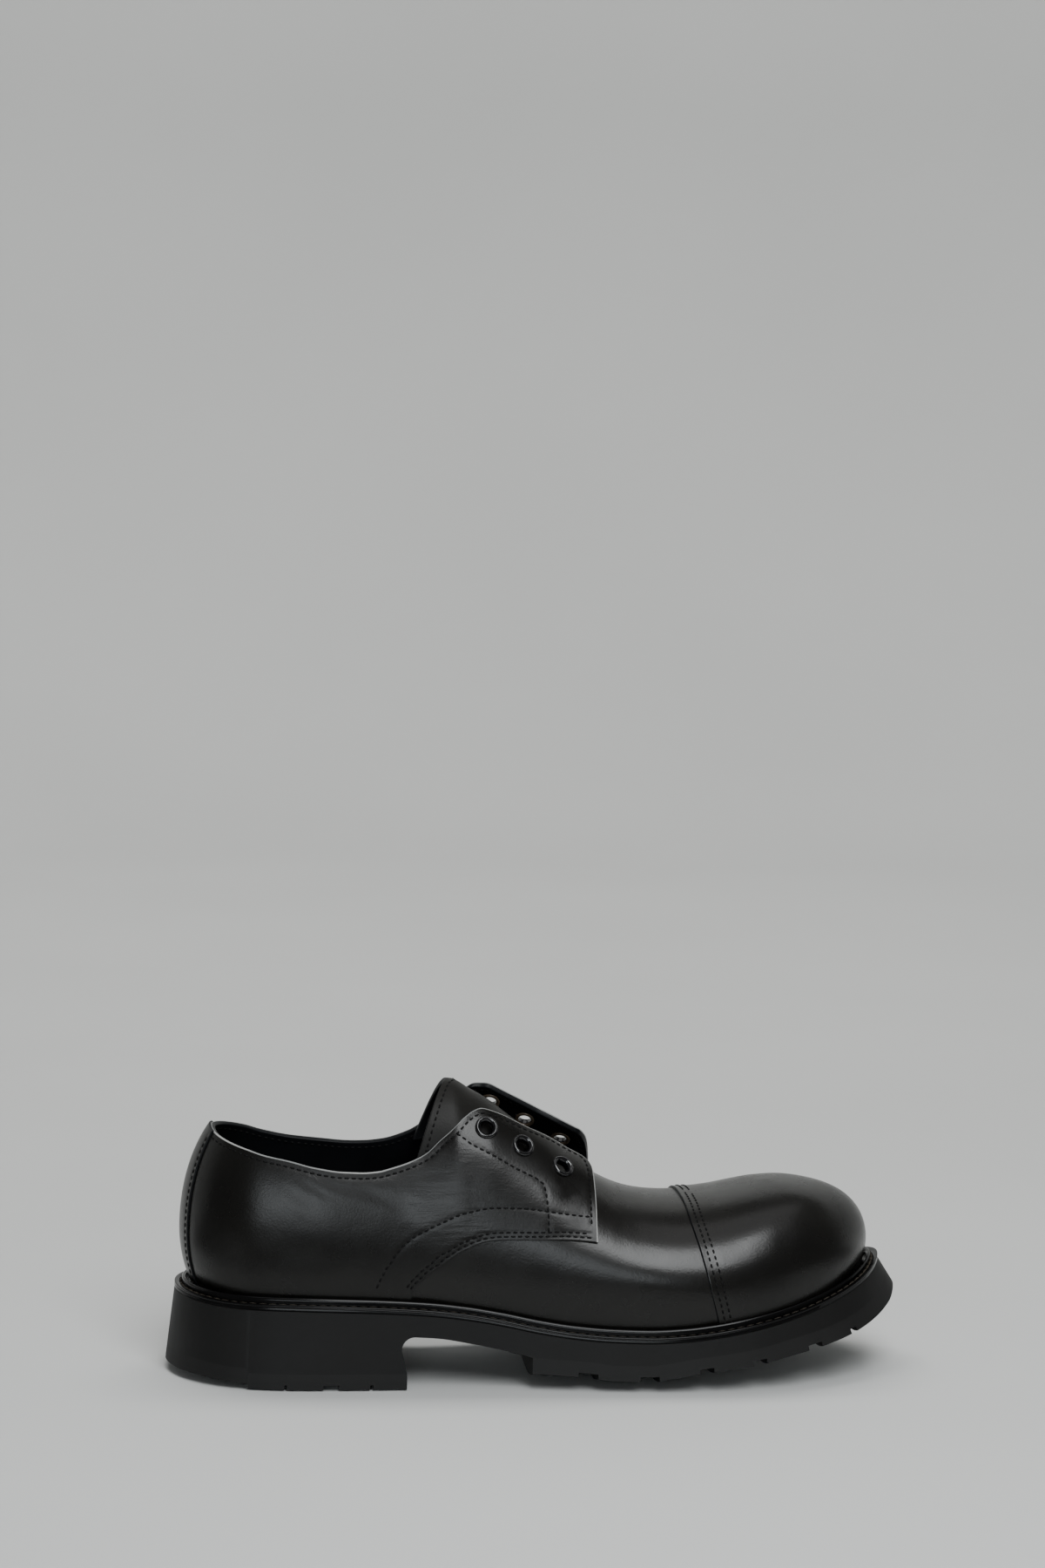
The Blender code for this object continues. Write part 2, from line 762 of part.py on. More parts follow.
def eyelet_mesh(look):
    """The closed profile that every eyelet is turned from."""
    half_wall = QUARTER_WALL / 2
    outside = half_wall + 1.2 * CLEARANCE
    inside = half_wall + 4 * CLEARANCE
    profile = (
        (EYELET_BORE, outside + 0.5 * EYELET_LIP),
        (EYELET_TUBE, outside + EYELET_LIP),
        (EYELET_FLANGE - 0.5 * EYELET_LIP, outside + 0.9 * EYELET_LIP),
        (EYELET_FLANGE, outside),
        (EYELET_TUBE, outside),
        (EYELET_TUBE, -inside),
        (EYELET_FLANGE - 0.6 * EYELET_LIP, -inside),
        (EYELET_TUBE, -inside - 0.7 * EYELET_LIP),
        (EYELET_BORE, -inside),
    )
    count = len(profile)
    mesh = bpy.data.meshes.new("eyelet")
    points = [(radius, 0, height) for radius, height in profile]
    mesh.from_pydata(points, [(k, (k + 1) % count) for k in range(count)], [])
    mesh.materials.append(look)
    return mesh


def build_eyelets(upper, collection, cutters, look):
    """Three turned eyelets through each flap, in holes cut for them."""
    hole_shape, eyelet_shape = hole_mesh(), eyelet_mesh(look)
    for side, word in ((OUTER, "outer"), (INNER, "inner")):
        for number, (share, t) in enumerate(EYELETS[side], 1):
            centre, facing = eyelet_seat(side, share, t)
            hole = place(f"hole_{word}_{number}", hole_shape, centre, facing, cutters)
            hole.hide_render = True
            hole.display_type = "WIRE"
            combine(upper, hole, "DIFFERENCE")
            eyelet = place(f"eyelet_{word}_{number}", eyelet_shape, centre, facing, collection)
            turn = eyelet.modifiers.new("turn", "SCREW")
            turn.steps = turn.render_steps = EYELET_SIDES
            turn.merge_threshold = 1e-5


def build_tongue(collection, look):
    """The tongue, from its root under the vamp up to its tip between the flaps."""
    run = np.linspace(0, 1, 12)
    across = np.linspace(-1, 1, 13)
    a, b = np.meshgrid(run, across, indexing="ij")
    (outer_drop, outer_bend), (inner_drop, inner_bend) = TONGUE_CORNERS[OUTER], TONGUE_CORNERS[INNER]
    drop = np.where(b < 0, outer_drop * np.abs(b) ** outer_bend, inner_drop * np.abs(b) ** inner_bend)
    tip = TONGUE_TIP - drop
    share = TONGUE_ROOT + (tip - TONGUE_ROOT) * a
    edge = TONGUE_ROOT_EDGE + (TONGUE_EDGE - TONGUE_ROOT_EDGE) * a
    t = 1 - np.abs(b) * (1 - edge)
    w = np.where(b <= 0, share, 2 - share)
    tucked = -VAMP_WALL - 1.5 * CLEARANCE
    raised = TONGUE_RISE * curve(TONGUE_LIFT, share)
    lift = np.where(raised > tucked, raised + (tucked - raised) * b * b, raised)
    outer = offset_point(w, t, lift)
    inner = offset_point(w, t, lift - TONGUE_WALL)
    return sheet("tongue", outer, inner, collection, look)


def build_welt(collection, look):
    """The welt all round: an edge, a ledge, a stitch groove, a bead and a seat under the upper."""
    seat = -CLEARANCE
    bead = LEDGE_BREADTH + 0.32 * BEAD_WIDTH
    profile = (
        (0.0, -WELT_THICKNESS),
        (0.0, -0.25 * WELT_THICKNESS),
        (0.25 * WELT_THICKNESS, 0.0),
        (LEDGE_BREADTH - 0.4 * GROOVE_DEPTH, 0.0),
        (LEDGE_BREADTH, -GROOVE_DEPTH),
        (bead - 0.3 * GROOVE_DEPTH, -GROOVE_DEPTH),
        (bead, 0.5 * BEAD_HEIGHT),
        (bead + 0.18 * BEAD_WIDTH, 0.93 * BEAD_HEIGHT),
        (bead + 0.34 * BEAD_WIDTH, BEAD_HEIGHT),
        (bead + 0.50 * BEAD_WIDTH, 0.84 * BEAD_HEIGHT),
        (bead + 0.68 * BEAD_WIDTH, seat),
        (WELT_BREADTH, seat),
        (WELT_BREADTH, -WELT_THICKNESS),
    )
    picks = np.linspace(0, len(EDGE_LOOP), 60, endpoint=False).astype(int)
    count = len(profile)
    points, faces = [], []
    for i in picks:
        for inward, height in profile:
            plan = EDGE_LOOP[i] - EDGE_NORMALS[i] * inward
            points.append((*plan, ledge(plan[0]) + height))
    for k in range(len(picks)):
        n = (k + 1) % len(picks)
        for j in range(count):
            m = (j + 1) % count
            faces.append((k * count + j, k * count + m, n * count + m, n * count + j))
    return mesh_object("welt", points, faces, collection, look)


def eased(start, end, count, ease_start=False, ease_end=False):
    """Values from start to end, closer together towards an eased end."""
    u = np.linspace(0, 1, count)
    if ease_start and ease_end:
        u = (1 - np.cos(math.pi * u)) / 2
    elif ease_start:
        u = 1 - np.cos(math.pi / 2 * u)
    elif ease_end:
        u = np.sin(math.pi / 2 * u)
    return start + (end - start) * u


def build_board(name, inset, bottom, top, collection, look):
    """A board inside the shoe that follows the ledge, inset from the welt's edge."""
    loop = EDGE_LOOP - EDGE_NORMALS * np.reshape(inset, (-1, 1))
    ends = sides(loop)
    x = eased(loop[:, 0].min(), loop[:, 0].max(), 26, True, True)
    y = [np.interp(x, ends[side][:, 0], ends[side][:, 1]) for side in (OUTER, INNER)]
    y[0][[0, -1]] = y[1][[0, -1]] = (y[0][[0, -1]] + y[1][[0, -1]]) / 2
    mix = np.linspace(0, 1, 3)
    plan_y = y[0][:, None] * (1 - mix) + y[1][:, None] * mix
    plan_x = np.repeat(x[:, None], 3, 1)
    height = np.repeat(ledge(x)[:, None], 3, 1)
    upper = np.stack([plan_x, plan_y, height + top], -1)
    lower = np.stack([plan_x, plan_y, height + bottom], -1)
    return ladder(name, upper, lower, collection, look)


def edge_height(x):
    """The unit's lower edge above the floor, under the treads."""
    share = along(x)
    return CROWN_DEPTH * curve(CROWN, share) + HEEL_HEIGHT * curve(FLOOR_EDGE, share)


def wall_ends(x, side):
    """Where the unit's side wall starts under the welt, and where it would meet the lower edge."""
    run = sides(EDGE_LOOP)[side]
    facing = sides(EDGE_LOOP, EDGE_NORMALS)[side]
    y = np.interp(x, run[:, 0], run[:, 1])
    normal = np.stack([np.interp(x, run[:, 0], facing[:, k]) for k in (0, 1)], -1)
    normal /= np.linalg.norm(normal, axis=1)[:, None]
    top = np.stack([x, y, ledge(x) - WELT_THICKNESS - CLEARANCE], -1)
    flare = WALL_FLARE * curve(FLARE, along(x))
    back = x - SPRING_REACH * SOLE_LENGTH
    slope = np.maximum((ledge(x) - ledge(back)) / (SPRING_REACH * SOLE_LENGTH), 0)
    foot_z = edge_height(x)
    foot_x = x + flare * normal[:, 0] + slope * (ledge(x) - foot_z)
    return top, np.stack([foot_x, y + flare * normal[:, 1], foot_z], -1)


def unit_level(x, height, low_x=None):
    """Points across the unit at each x, where its edge is at a height; low_x moves them lengthwise."""
    ends = []
    for side in (OUTER, INNER):
        top, foot = wall_ends(x, side)
        share = ((height - foot[:, 2]) / (top[:, 2] - foot[:, 2]))[:, None]
        ends.append(foot + (top - foot) * share)
    across = np.array(ACROSS)
    mix = ((across + 1) / 2)[None, :, None]
    points = ends[0][:, None] * (1 - mix) + ends[1][:, None] * mix
    if low_x is not None:
        moved = ~np.isnan(low_x)
        points[moved, :, 0] = low_x[moved, None]
    round_off = np.clip((np.abs(across) - FLAT_SHARE) / (1 - FLAT_SHARE), 0, 1) ** 2
    hang = CROWN_DEPTH * curve(CROWN, along(x))
    points[..., 2] -= hang[:, None] * (1 - round_off)[None, :]
    return points


def unit_top(x):
    """Points across the unit's upper face at each x."""
    ends = [wall_ends(x, side)[0] for side in (OUTER, INNER)]
    mix = ((np.array(ACROSS) + 1) / 2)[None, :, None]
    return ends[0][:, None] * (1 - mix) + ends[1][:, None] * mix


def heel_stations():
    """Where the heel is cut across: from its back to the breast, with both edges of its bevel."""
    bevel = [share * SOLE_LENGTH - HEEL_REST for share in BEVEL_STEP]
    return np.sort(np.concatenate([eased(EDGE_LOOP[:, 0].min(), BREAST, 16, ease_start=True), bevel]))


def fore_stations():
    """Where the forefoot is cut across, closer together towards the tip."""
    return eased(FORE_TREAD_START, EDGE_LOOP[:, 0].max(), 22, ease_end=True)


def build_outsole(collection, look):
    """The rubber unit: heel block, breast with its fillet, arched waist and forefoot."""
    over_tread = TREAD_DEPTH + CLEARANCE
    fillet_x = BREAST - BREAST_LEAN + BREAST_FILLET
    fillet_z = WAIST_HEIGHT - BREAST_FILLET
    stations = [(x, math.nan, edge_height(x) + over_tread) for x in heel_stations()[:-1]]
    stations.append((BREAST - BREAST_LEAN, BREAST, edge_height(BREAST) + over_tread))
    stations.append((BREAST - BREAST_LEAN / 2, BREAST - BREAST_LEAN, fillet_z))
    for share in (1 / 3, 2 / 3, 1):
        angle = share * math.pi / 2
        low_x = fillet_x - BREAST_FILLET * math.cos(angle)
        low_z = fillet_z + BREAST_FILLET * math.sin(angle)
        stations.append((BREAST + share * (fillet_x - BREAST), low_x, low_z))
    for share in (0.15, 0.35, 0.55, 0.75, 0.92):
        x = fillet_x + (FORE_TREAD_START - fillet_x) * share
        stations.append((x, math.nan, WAIST_HEIGHT * float(curve(WAIST, share))))
    for x in fore_stations():
        stations.append((x, math.nan, edge_height(x) + over_tread))
    x, low_x, low_z = np.array(stations, float).T
    return ladder("outsole", unit_top(x), unit_level(x, low_z, low_x), collection, look)


def build_tread(name, stations, channels, collection, look):
    """A tread under the unit, with channels across its lower face."""
    ramp = STEP_RUN / 4
    rises = {float(x): 0.0 for x in stations}
    for channel in channels:
        start, end = (share * SOLE_LENGTH - HEEL_REST for share in channel)
        rises = {x: rise for x, rise in rises.items() if min(abs(x - start), abs(x - end)) > 4 * ramp}
        rises.update({x: NOTCH_DEPTH for x in rises if start < x < end})
        rises.update({start - ramp: 0.0, start: NOTCH_DEPTH, end: NOTCH_DEPTH, end + ramp: 0.0})
    x = np.array(sorted(rises))
    rise = np.array([rises[value] for value in x])
    upper = unit_level(x, edge_height(x) + TREAD_DEPTH)
    lower = unit_level(x, edge_height(x) + rise)
    return ladder(name, upper, lower, collection, look)


def main():
    for old in list(bpy.data.objects):
        bpy.data.objects.remove(old, do_unlink=True)
    shoe = bpy.data.collections.new("derby_shoe")
    cutters = bpy.data.collections.new("cutters")
    bpy.context.scene.collection.children.link(shoe)
    bpy.context.scene.collection.children.link(cutters)

    leather = material("black_box_leather", (0.016, 0.016, 0.018), 0.38)
    soft_leather = material("tongue_leather", (0.020, 0.020, 0.020), 0.50)
    board = material("insole_leather", (0.018, 0.020, 0.026), 0.55)
    cork = material("cork", (0.30, 0.19, 0.10), 0.90)
    edge_rubber = material("welt_rubber", (0.020, 0.020, 0.021), 0.45)
    rubber = material("black_rubber", (0.022, 0.022, 0.023), 0.75)
    enamel = material("black_enamelled_brass", (0.012, 0.012, 0.013), 0.22, 0.6)

    upper = build_vamp(shoe)
    quarter = build_quarter(cutters)
    quarter.hide_render = True
    quarter.display_type = "WIRE"
    combine(upper, quarter, "UNION")
    build_eyelets(upper, shoe, cutters, enamel)
    upper.data.materials.clear()
    upper.data.materials.append(leather)
    build_tongue(shoe, soft_leather)
    build_welt(shoe, edge_rubber)
    wall = FOOT_MARGIN * curve(MARGIN, along(EDGE_LOOP[:, 0])) + VAMP_WALL + 3 * CLEARANCE
    build_board("insole", wall, 0.0, INSOLE_THICKNESS, shoe, board)
    build_board("filler", WELT_BREADTH + CLEARANCE, -WELT_THICKNESS, -CLEARANCE, shoe, cork)
    build_outsole(shoe, rubber)
    build_tread("heel_tread", heel_stations(), HEEL_CHANNELS, shoe, rubber)
    build_tread("forefoot_tread", fore_stations(), FORE_CHANNELS, shoe, rubber)


main()
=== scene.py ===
"""Looks of the right derby shoe: leather, rubber, stitches, eyelets, floor, light and camera."""
import math

import bmesh
import bpy
import numpy as np
from mathutils import Matrix, Vector
from mathutils.kdtree import KDTree


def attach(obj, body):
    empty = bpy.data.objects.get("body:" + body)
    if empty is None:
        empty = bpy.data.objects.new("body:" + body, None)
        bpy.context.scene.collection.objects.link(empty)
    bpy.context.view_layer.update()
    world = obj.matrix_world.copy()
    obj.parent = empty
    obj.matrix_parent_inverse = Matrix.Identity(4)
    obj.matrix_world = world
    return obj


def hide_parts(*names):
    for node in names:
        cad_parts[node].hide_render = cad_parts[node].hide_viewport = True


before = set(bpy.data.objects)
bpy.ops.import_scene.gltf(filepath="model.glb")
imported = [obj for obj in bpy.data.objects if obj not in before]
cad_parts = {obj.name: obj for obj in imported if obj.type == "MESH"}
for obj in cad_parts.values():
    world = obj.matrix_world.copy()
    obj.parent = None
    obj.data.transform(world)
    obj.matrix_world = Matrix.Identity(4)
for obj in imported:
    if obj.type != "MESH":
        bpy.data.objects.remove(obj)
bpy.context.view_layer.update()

BODY = "root"

# Sizes of the solids, in metres. X runs from heel to toe, +Y is the inner side of the foot, Z is up.
SOLE_LENGTH = 0.3025
SOLE_WIDTH = 0.1090
HEEL_REST = 0.0532
HEEL_HEIGHT = 0.0358
BALL_HEIGHT = 0.0232
TOE_RISE = 0.0243
UPPER_HEIGHT = 0.1213
CLEARANCE = 0.0003
FOOT_MARGIN = 0.0063
BULGE = 0.0059
VAMP_WALL = 0.0020
QUARTER_WALL = 0.0024
QUARTER_STEP = 0.0014
CAP_STEP = 0.0010
BACKSTAY_STEP = 0.0008
OUTER_FLAP_SPREAD = 0.0060
INNER_FLAP_SPREAD = 0.0150
TONGUE_WALL = 0.0020
TONGUE_RISE = 0.0035
WELT_THICKNESS = 0.0022
WELT_BREADTH = 0.0120
LEDGE_BREADTH = 0.0022
GROOVE_DEPTH = 0.0007
BEAD_WIDTH = 0.0028
BEAD_HEIGHT = 0.0025
TREAD_DEPTH = 0.0065
NOTCH_DEPTH = 0.0019
STEP_RUN = 0.0004
WALL_FLARE = 0.0036
CROWN_DEPTH = 0.0052
BREAST = 0.0426
BREAST_LEAN = 0.0023
BREAST_FILLET = 0.0055
WAIST_HEIGHT = 0.0224
FORE_TREAD_START = 0.0950
INSOLE_THICKNESS = 0.0030
EYELET_BORE = 0.0027
EYELET_TUBE = 0.0034
EYELET_FLANGE = 0.0049
EYELET_LIP = 0.0008

# Sizes of what is only seen: stitches, seam troughs and cut edges.
STITCH_PITCH = 0.0029
STITCH_LENGTH = 0.0020
STITCH_RADIUS = 0.00050
WELT_STITCH_PITCH = 0.0042
WELT_STITCH_LENGTH = 0.0036
WELT_STITCH_RADIUS = 0.00055
SEAM_HALF_WIDTH = 0.0009
SEAM_DEPTH = 0.00010
EDGE_ROUND = 0.00025
# On the quarters, the faces this close to the collar and flap edges carry the painted highlight of the
# edge.
EDGE_SUPPORT = 0.00035
COLLAR_INSET = 0.0024
LOWER_INSETS = (0.0014, 0.0031)
CAP_INSETS = (0.0024, 0.0050)
BACKSTAY_INSET = 0.0016
BACKSTAY_SHOWN = 0.0196
BACKSTAY_WALL = 1.6 * BACKSTAY_STEP
EYELET_HOLE = 0.82 * EYELET_FLANGE

# Rows of a rounded edge, as share of the wall and share of EDGE_ROUND, and the look of each band there.
EDGE_ROWS = ((0.05, 0.6), (0.22, 1.0), (0.62, 1.0), (0.94, 0.6))
EDGE_BANDS = (1, 1, 3, 3, 3)

# One stitch from end to end: share of its length, share of its radius.
STITCH_FORM = ((-0.5, 0.35), (-0.42, 0.85), (0.0, 1.0), (0.42, 0.85), (0.5, 0.35))
STITCH_SIDES = 6
STITCH_SINK = 0.3
STITCH_BEND = 1.2

OUTER, INNER = -1, 1
RIDGE_START = 0.30
KNEE = 0.45
WELD = 1e-6

# The welt's edge from the heel's back round the outer side to the toe and home on the inner side.
WELT_EDGE = (
    # share of SOLE_LENGTH, share of SOLE_WIDTH
    (-0.0024, 0.012), (0.02, -0.165), (0.068, -0.285), (0.15, -0.35), (0.25, -0.362),
    (0.35, -0.362), (0.45, -0.378), (0.55, -0.41), (0.64, -0.438), (0.72, -0.446), (0.8, -0.422),
    (0.875, -0.358), (0.94, -0.245), (0.984, -0.09), (1.0, 0.075), (0.984, 0.22), (0.935, 0.37),
    (0.865, 0.48), (0.79, 0.527), (0.71, 0.534), (0.62, 0.492), (0.53, 0.42), (0.44, 0.352),
    (0.35, 0.328), (0.25, 0.342), (0.15, 0.342), (0.062, 0.297), (0.0168, 0.205),
)

# The welt's upper face above the floor.
LEDGE = (
    # share of SOLE_LENGTH, share of the drop from heel to ball, share of TOE_RISE
    (0.0, 1.1, 0.0), (0.04, 1.04, 0.0), (0.08, 1.01, 0.0), (0.15, 1.0, 0.0), (0.25, 0.94, 0.0),
    (0.35, 0.81, 0.0), (0.4, 0.68, 0.0), (0.45, 0.49, 0.0), (0.5, 0.26, 0.0), (0.55, 0.1, 0.0),
    (0.6, 0.02, 0.0), (0.65, 0.0, 0.0), (0.7, 0.0, 0.03), (0.75, 0.0, 0.1), (0.8, 0.0, 0.2),
    (0.85, 0.0, 0.33), (0.9, 0.0, 0.5), (0.95, 0.0, 0.7), (0.975, 0.0, 0.82), (1.0, 0.0, 1.0),
)

# How far the upper's foot stands in from the welt's edge.
MARGIN = (
    # share of SOLE_LENGTH, share of FOOT_MARGIN
    (0.0, 1.52), (0.1, 1.24), (0.3, 1.2), (0.4, 1.0), (0.9, 1.0), (1.0, 1.38),
)

# Where each section of the last meets the ridge: the sections fan out at the heel and at the toe.
SPINE = (
    # share of the foot line, share of SOLE_LENGTH
    (0.0, 0.13), (0.08, 0.132), (0.155, 0.145), (0.22, 0.198), (0.3, 0.289), (0.5, 0.508),
    (0.74, 0.766), (0.8, 0.822), (0.86, 0.842), (0.92, 0.845), (1.0, 0.845),
)

# The last's ridge above the floor. Behind the throat it closes the opening and no leather follows it.
RIDGE = (
    # share of SOLE_LENGTH, share of UPPER_HEIGHT
    (0.0, 0.981), (0.243, 0.981), (0.326, 0.993), (0.376, 1.0), (0.402, 0.969), (0.426, 0.937),
    (0.459, 0.881), (0.509, 0.8), (0.542, 0.742), (0.575, 0.696), (0.597, 0.667), (0.618, 0.642),
    (0.645, 0.62), (0.675, 0.607), (0.701, 0.603), (0.731, 0.603), (0.758, 0.609), (0.794, 0.625),
    (0.827, 0.64), (0.845, 0.645), (1.0, 0.645),
)

# Each section's side: how far it stands out past its foot, how high that is, and how square it is above.
SECTION = (
    # share of the foot line, share of BULGE, share of UPPER_HEIGHT, squareness
    (0.0, 0.95, 0.503, 2.0), (0.08, 0.7, 0.495, 2.0), (0.155, 0.4, 0.478, 2.0),
    (0.3, 0.32, 0.445, 2.0), (0.45, 0.38, 0.404, 2.0), (0.6, 0.4, 0.363, 2.1),
    (0.7, 0.4, 0.346, 2.35), (0.8, 0.38, 0.387, 2.7), (0.9, 0.4, 0.437, 3.0),
    (1.0, 0.42, 0.445, 3.0),
)

# The upper edge of the quarters: round the collar and up along each flap to its front corner.
TOPLINE = {
    OUTER: (
        # share of the foot line, share of the section from foot to ridge
        (0.0, 0.672), (0.052, 0.645), (0.106, 0.615), (0.131, 0.599), (0.165, 0.585),
        (0.202, 0.564), (0.238, 0.554), (0.257, 0.554), (0.281, 0.559), (0.298, 0.57),
        (0.321, 0.589), (0.344, 0.619), (0.361, 0.66), (0.38, 0.705), (0.393, 0.756),
        (0.405, 0.798), (0.417, 0.824), (0.427, 0.831), (0.45, 0.852), (0.474, 0.863),
        (0.498, 0.884), (0.523, 0.907), (0.547, 0.915), (0.556, 0.9), (0.56, 0.87), (0.562, 0.825),
    ),
    INNER: (
        (0.0, 0.672), (0.05, 0.658), (0.1, 0.63), (0.129, 0.607), (0.171, 0.586), (0.209, 0.577),
        (0.247, 0.571), (0.271, 0.574), (0.296, 0.583), (0.321, 0.605), (0.342, 0.635),
        (0.362, 0.69), (0.385, 0.755), (0.404, 0.797), (0.414, 0.822), (0.424, 0.83),
        (0.437, 0.847), (0.465, 0.849), (0.499, 0.852), (0.533, 0.875), (0.555, 0.872),
        (0.566, 0.835), (0.573, 0.78), (0.578, 0.7),
    ),
}

# The lower edge of the quarters, where they lie on the vamp. Behind it they reach the welt.
SEAM = (
    # share of the foot line, share of the section from foot to ridge
    (0.322, 0.0), (0.325, 0.098), (0.339, 0.2), (0.354, 0.276), (0.377, 0.328), (0.399, 0.36),
    (0.417, 0.382), (0.445, 0.402), (0.491, 0.433), (0.536, 0.476), (0.562, 0.493), (0.58, 0.5),
)

# Where that edge climbs steeply, and the part of it that two rows of stitches follow.
STEEP_SEAM = (0.3212, 0.3300)
LOWER_ROWS = (0.326, 0.553)

# How far each flap stands off the foot along its length.
SPREAD = {
    OUTER: ((0.34, 0.0), (0.36, 0.18), (0.40, 0.75), (0.43, 1.0), (0.58, 1.0)),
    INNER: ((0.33, 0.0), (0.36, 0.14), (0.40, 0.53), (0.43, 0.8), (0.50, 0.93), (0.58, 1.0)),
}
SPREAD_FOOT = 0.45
SPREAD_TOP = 0.90

# The vamp's rear edge under the flaps, and the edge of the cap across the toe.
VAMP_REAR = (
    # share of the section from foot to ridge, share of the foot line
    (0.0, 0.287), (0.1, 0.293), (0.2, 0.303), (0.3, 0.318), (0.4, 0.345), (0.46, 0.375),
    (0.5, 0.405), (0.54, 0.445), (0.58, 0.49), (0.64, 0.52), (0.75, 0.535), (1.0, 0.545),
)
CAP_EDGE = (
    # share of the section from foot to ridge, share of the foot line
    (0.0, 0.7225), (0.09, 0.719), (0.36, 0.706), (0.53, 0.697), (0.75, 0.6885), (1.0, 0.6855),
)

# How far the vamp reaches under the cap, and the sections whose length spaces the rows of both.
CAP_OVERLAP = 0.004
VAMP_SECTION = 0.6
CAP_SECTION = 0.85

# Where rows of stitches start or end, as shares of the section.
CAP_ROW = (0.012, 0.995)
COLLAR_ROW_END = 0.075
BACKSTAY_ROW_GAP = 0.02

# The tongue: where its root, its tip and its corners are, and how it rises off the foot.
TONGUE_ROOT = 0.590
TONGUE_TIP = 0.377
TONGUE_CORNERS = {
    # share of the foot line that the corner lies behind the tip, and how hollow the edge between them is
    OUTER: (0.046, 1.1),
    INNER: (0.043, 1.5),
}
TONGUE_EDGE = 0.60
TONGUE_ROOT_EDGE = 0.74
TONGUE_LIFT = (
    # share of the foot line, share of TONGUE_RISE above the foot
    (0.377, 1.0), (0.44, 0.74), (0.47, 0.5), (0.5, -0.12), (0.525, -1.0), (0.59, -1.0),
)

# Its row of stitches: from and to along its sides, then its place at the tip and at the sides.
TONGUE_ROW = (0.25, 0.95, 0.965, 0.93)

# About how long each panel is, in metres, to place the rows of points that keep its edges crisp.
VAMP_RUN = 0.08
CAP_RUN = 0.15
QUARTER_RUN = 0.33
QUARTER_RISE = 0.06
BACKSTAY_RISE = 0.08
TONGUE_RUN = 0.07
TONGUE_BREADTH = 0.08
SOCK_EDGE = 0.012

# The eyelets on each flap: share of the foot line and share of the section from foot to ridge.
EYELETS = {
    OUTER: ((0.421, 0.750), (0.468, 0.757), (0.520, 0.764)),
    INNER: ((0.439, 0.778), (0.487, 0.772), (0.537, 0.770)),
}

EYELET_FACE = (
    # share of the ring's breadth in from its edge, share of EYELET_LIP above the leather
    (0.0, 0.1), (0.06, 0.42), (0.18, 0.74), (0.3, 0.93), (0.4, 1.0), (0.5, 0.93), (0.64, 0.66),
    (0.8, 0.26), (0.94, -0.28),
)

# The unit's lower edge above the floor, and how far its middle hangs below that edge.
BEVEL_STEP = (0.0996, 0.1003)
FLOOR_EDGE = (
    # share of SOLE_LENGTH, share of HEEL_HEIGHT above the middle's hang
    (0.0, 0.112), (0.031, 0.095), (0.074, 0.061),
    (BEVEL_STEP[0], 0.056),
    (BEVEL_STEP[1], 0.0),
    (0.4, 0.0), (0.492, 0.078), (0.525, 0.058), (0.581, 0.022), (0.598, 0.0), (0.655, 0.0),
    (0.673, 0.022), (0.714, 0.086), (0.79, 0.178), (0.841, 0.279), (0.877, 0.352), (0.92, 0.462),
    (0.962, 0.625), (0.986, 0.775), (1.0, 0.95),
)
CROWN = (
    # share of SOLE_LENGTH, share of CROWN_DEPTH
    (0.0, 0.0), (0.06, 0.115), (0.323, 0.115), (0.426, 0.462), (0.492, 0.923), (0.575, 1.0),
    (0.655, 1.0), (0.83, 0.9), (0.93, 0.64), (0.98, 0.32), (1.0, 0.0),
)
WAIST = (
    # share from the breast to the fore tread, share of WAIST_HEIGHT
    (0.0, 1.0), (0.2, 0.973), (0.47, 0.88), (0.76, 0.759), (1.0, 0.64),
)
FLARE = (
    # share of SOLE_LENGTH, share of WALL_FLARE
    (0.0, 1.0), (0.1, 0.7), (0.3, 0.5), (0.5, 0.45), (0.8, 0.55), (0.93, 0.5), (1.0, 0.45),
)

# The channels across the treads, from and to, as shares of SOLE_LENGTH.
HEEL_CHANNELS = ((0.149, 0.152), (0.202, 0.223), (0.266, 0.270))
FORE_CHANNELS = (
    (0.553, 0.58), (0.638, 0.664), (0.718, 0.736), (0.788, 0.806), (0.864, 0.882), (0.924, 0.932),
)
HEEL_STATIONS = 60
FORE_STATIONS = 110

# How far before the breast the unit's last whole section stands, so that no two sections cross.
BREAST_LEAD = 3.5 * BREAST_LEAN
FLAT_SHARE = 0.4
SPRING_REACH = 0.10

# The stitched lines across each flap: the eyelet facing, and the curved line of the counter.
FACING_LINE = (
    # share of the foot line, share of the section from foot to ridge
    (0.381, 0.686), (0.4, 0.668), (0.42, 0.66), (0.442, 0.656), (0.465, 0.652), (0.483, 0.652),
    (0.493, 0.643), (0.496, 0.616), (0.498, 0.567), (0.499, 0.519), (0.499, 0.458),
)
COUNTER_LINE = (
    (0.554, 0.596), (0.532, 0.576), (0.506, 0.551), (0.487, 0.537), (0.467, 0.523), (0.443, 0.501),
    (0.422, 0.483), (0.405, 0.465), (0.387, 0.444), (0.368, 0.422), (0.347, 0.398), (0.325, 0.369),
    (0.312, 0.343), (0.301, 0.312), (0.291, 0.25), (0.284, 0.183), (0.277, 0.1),
)

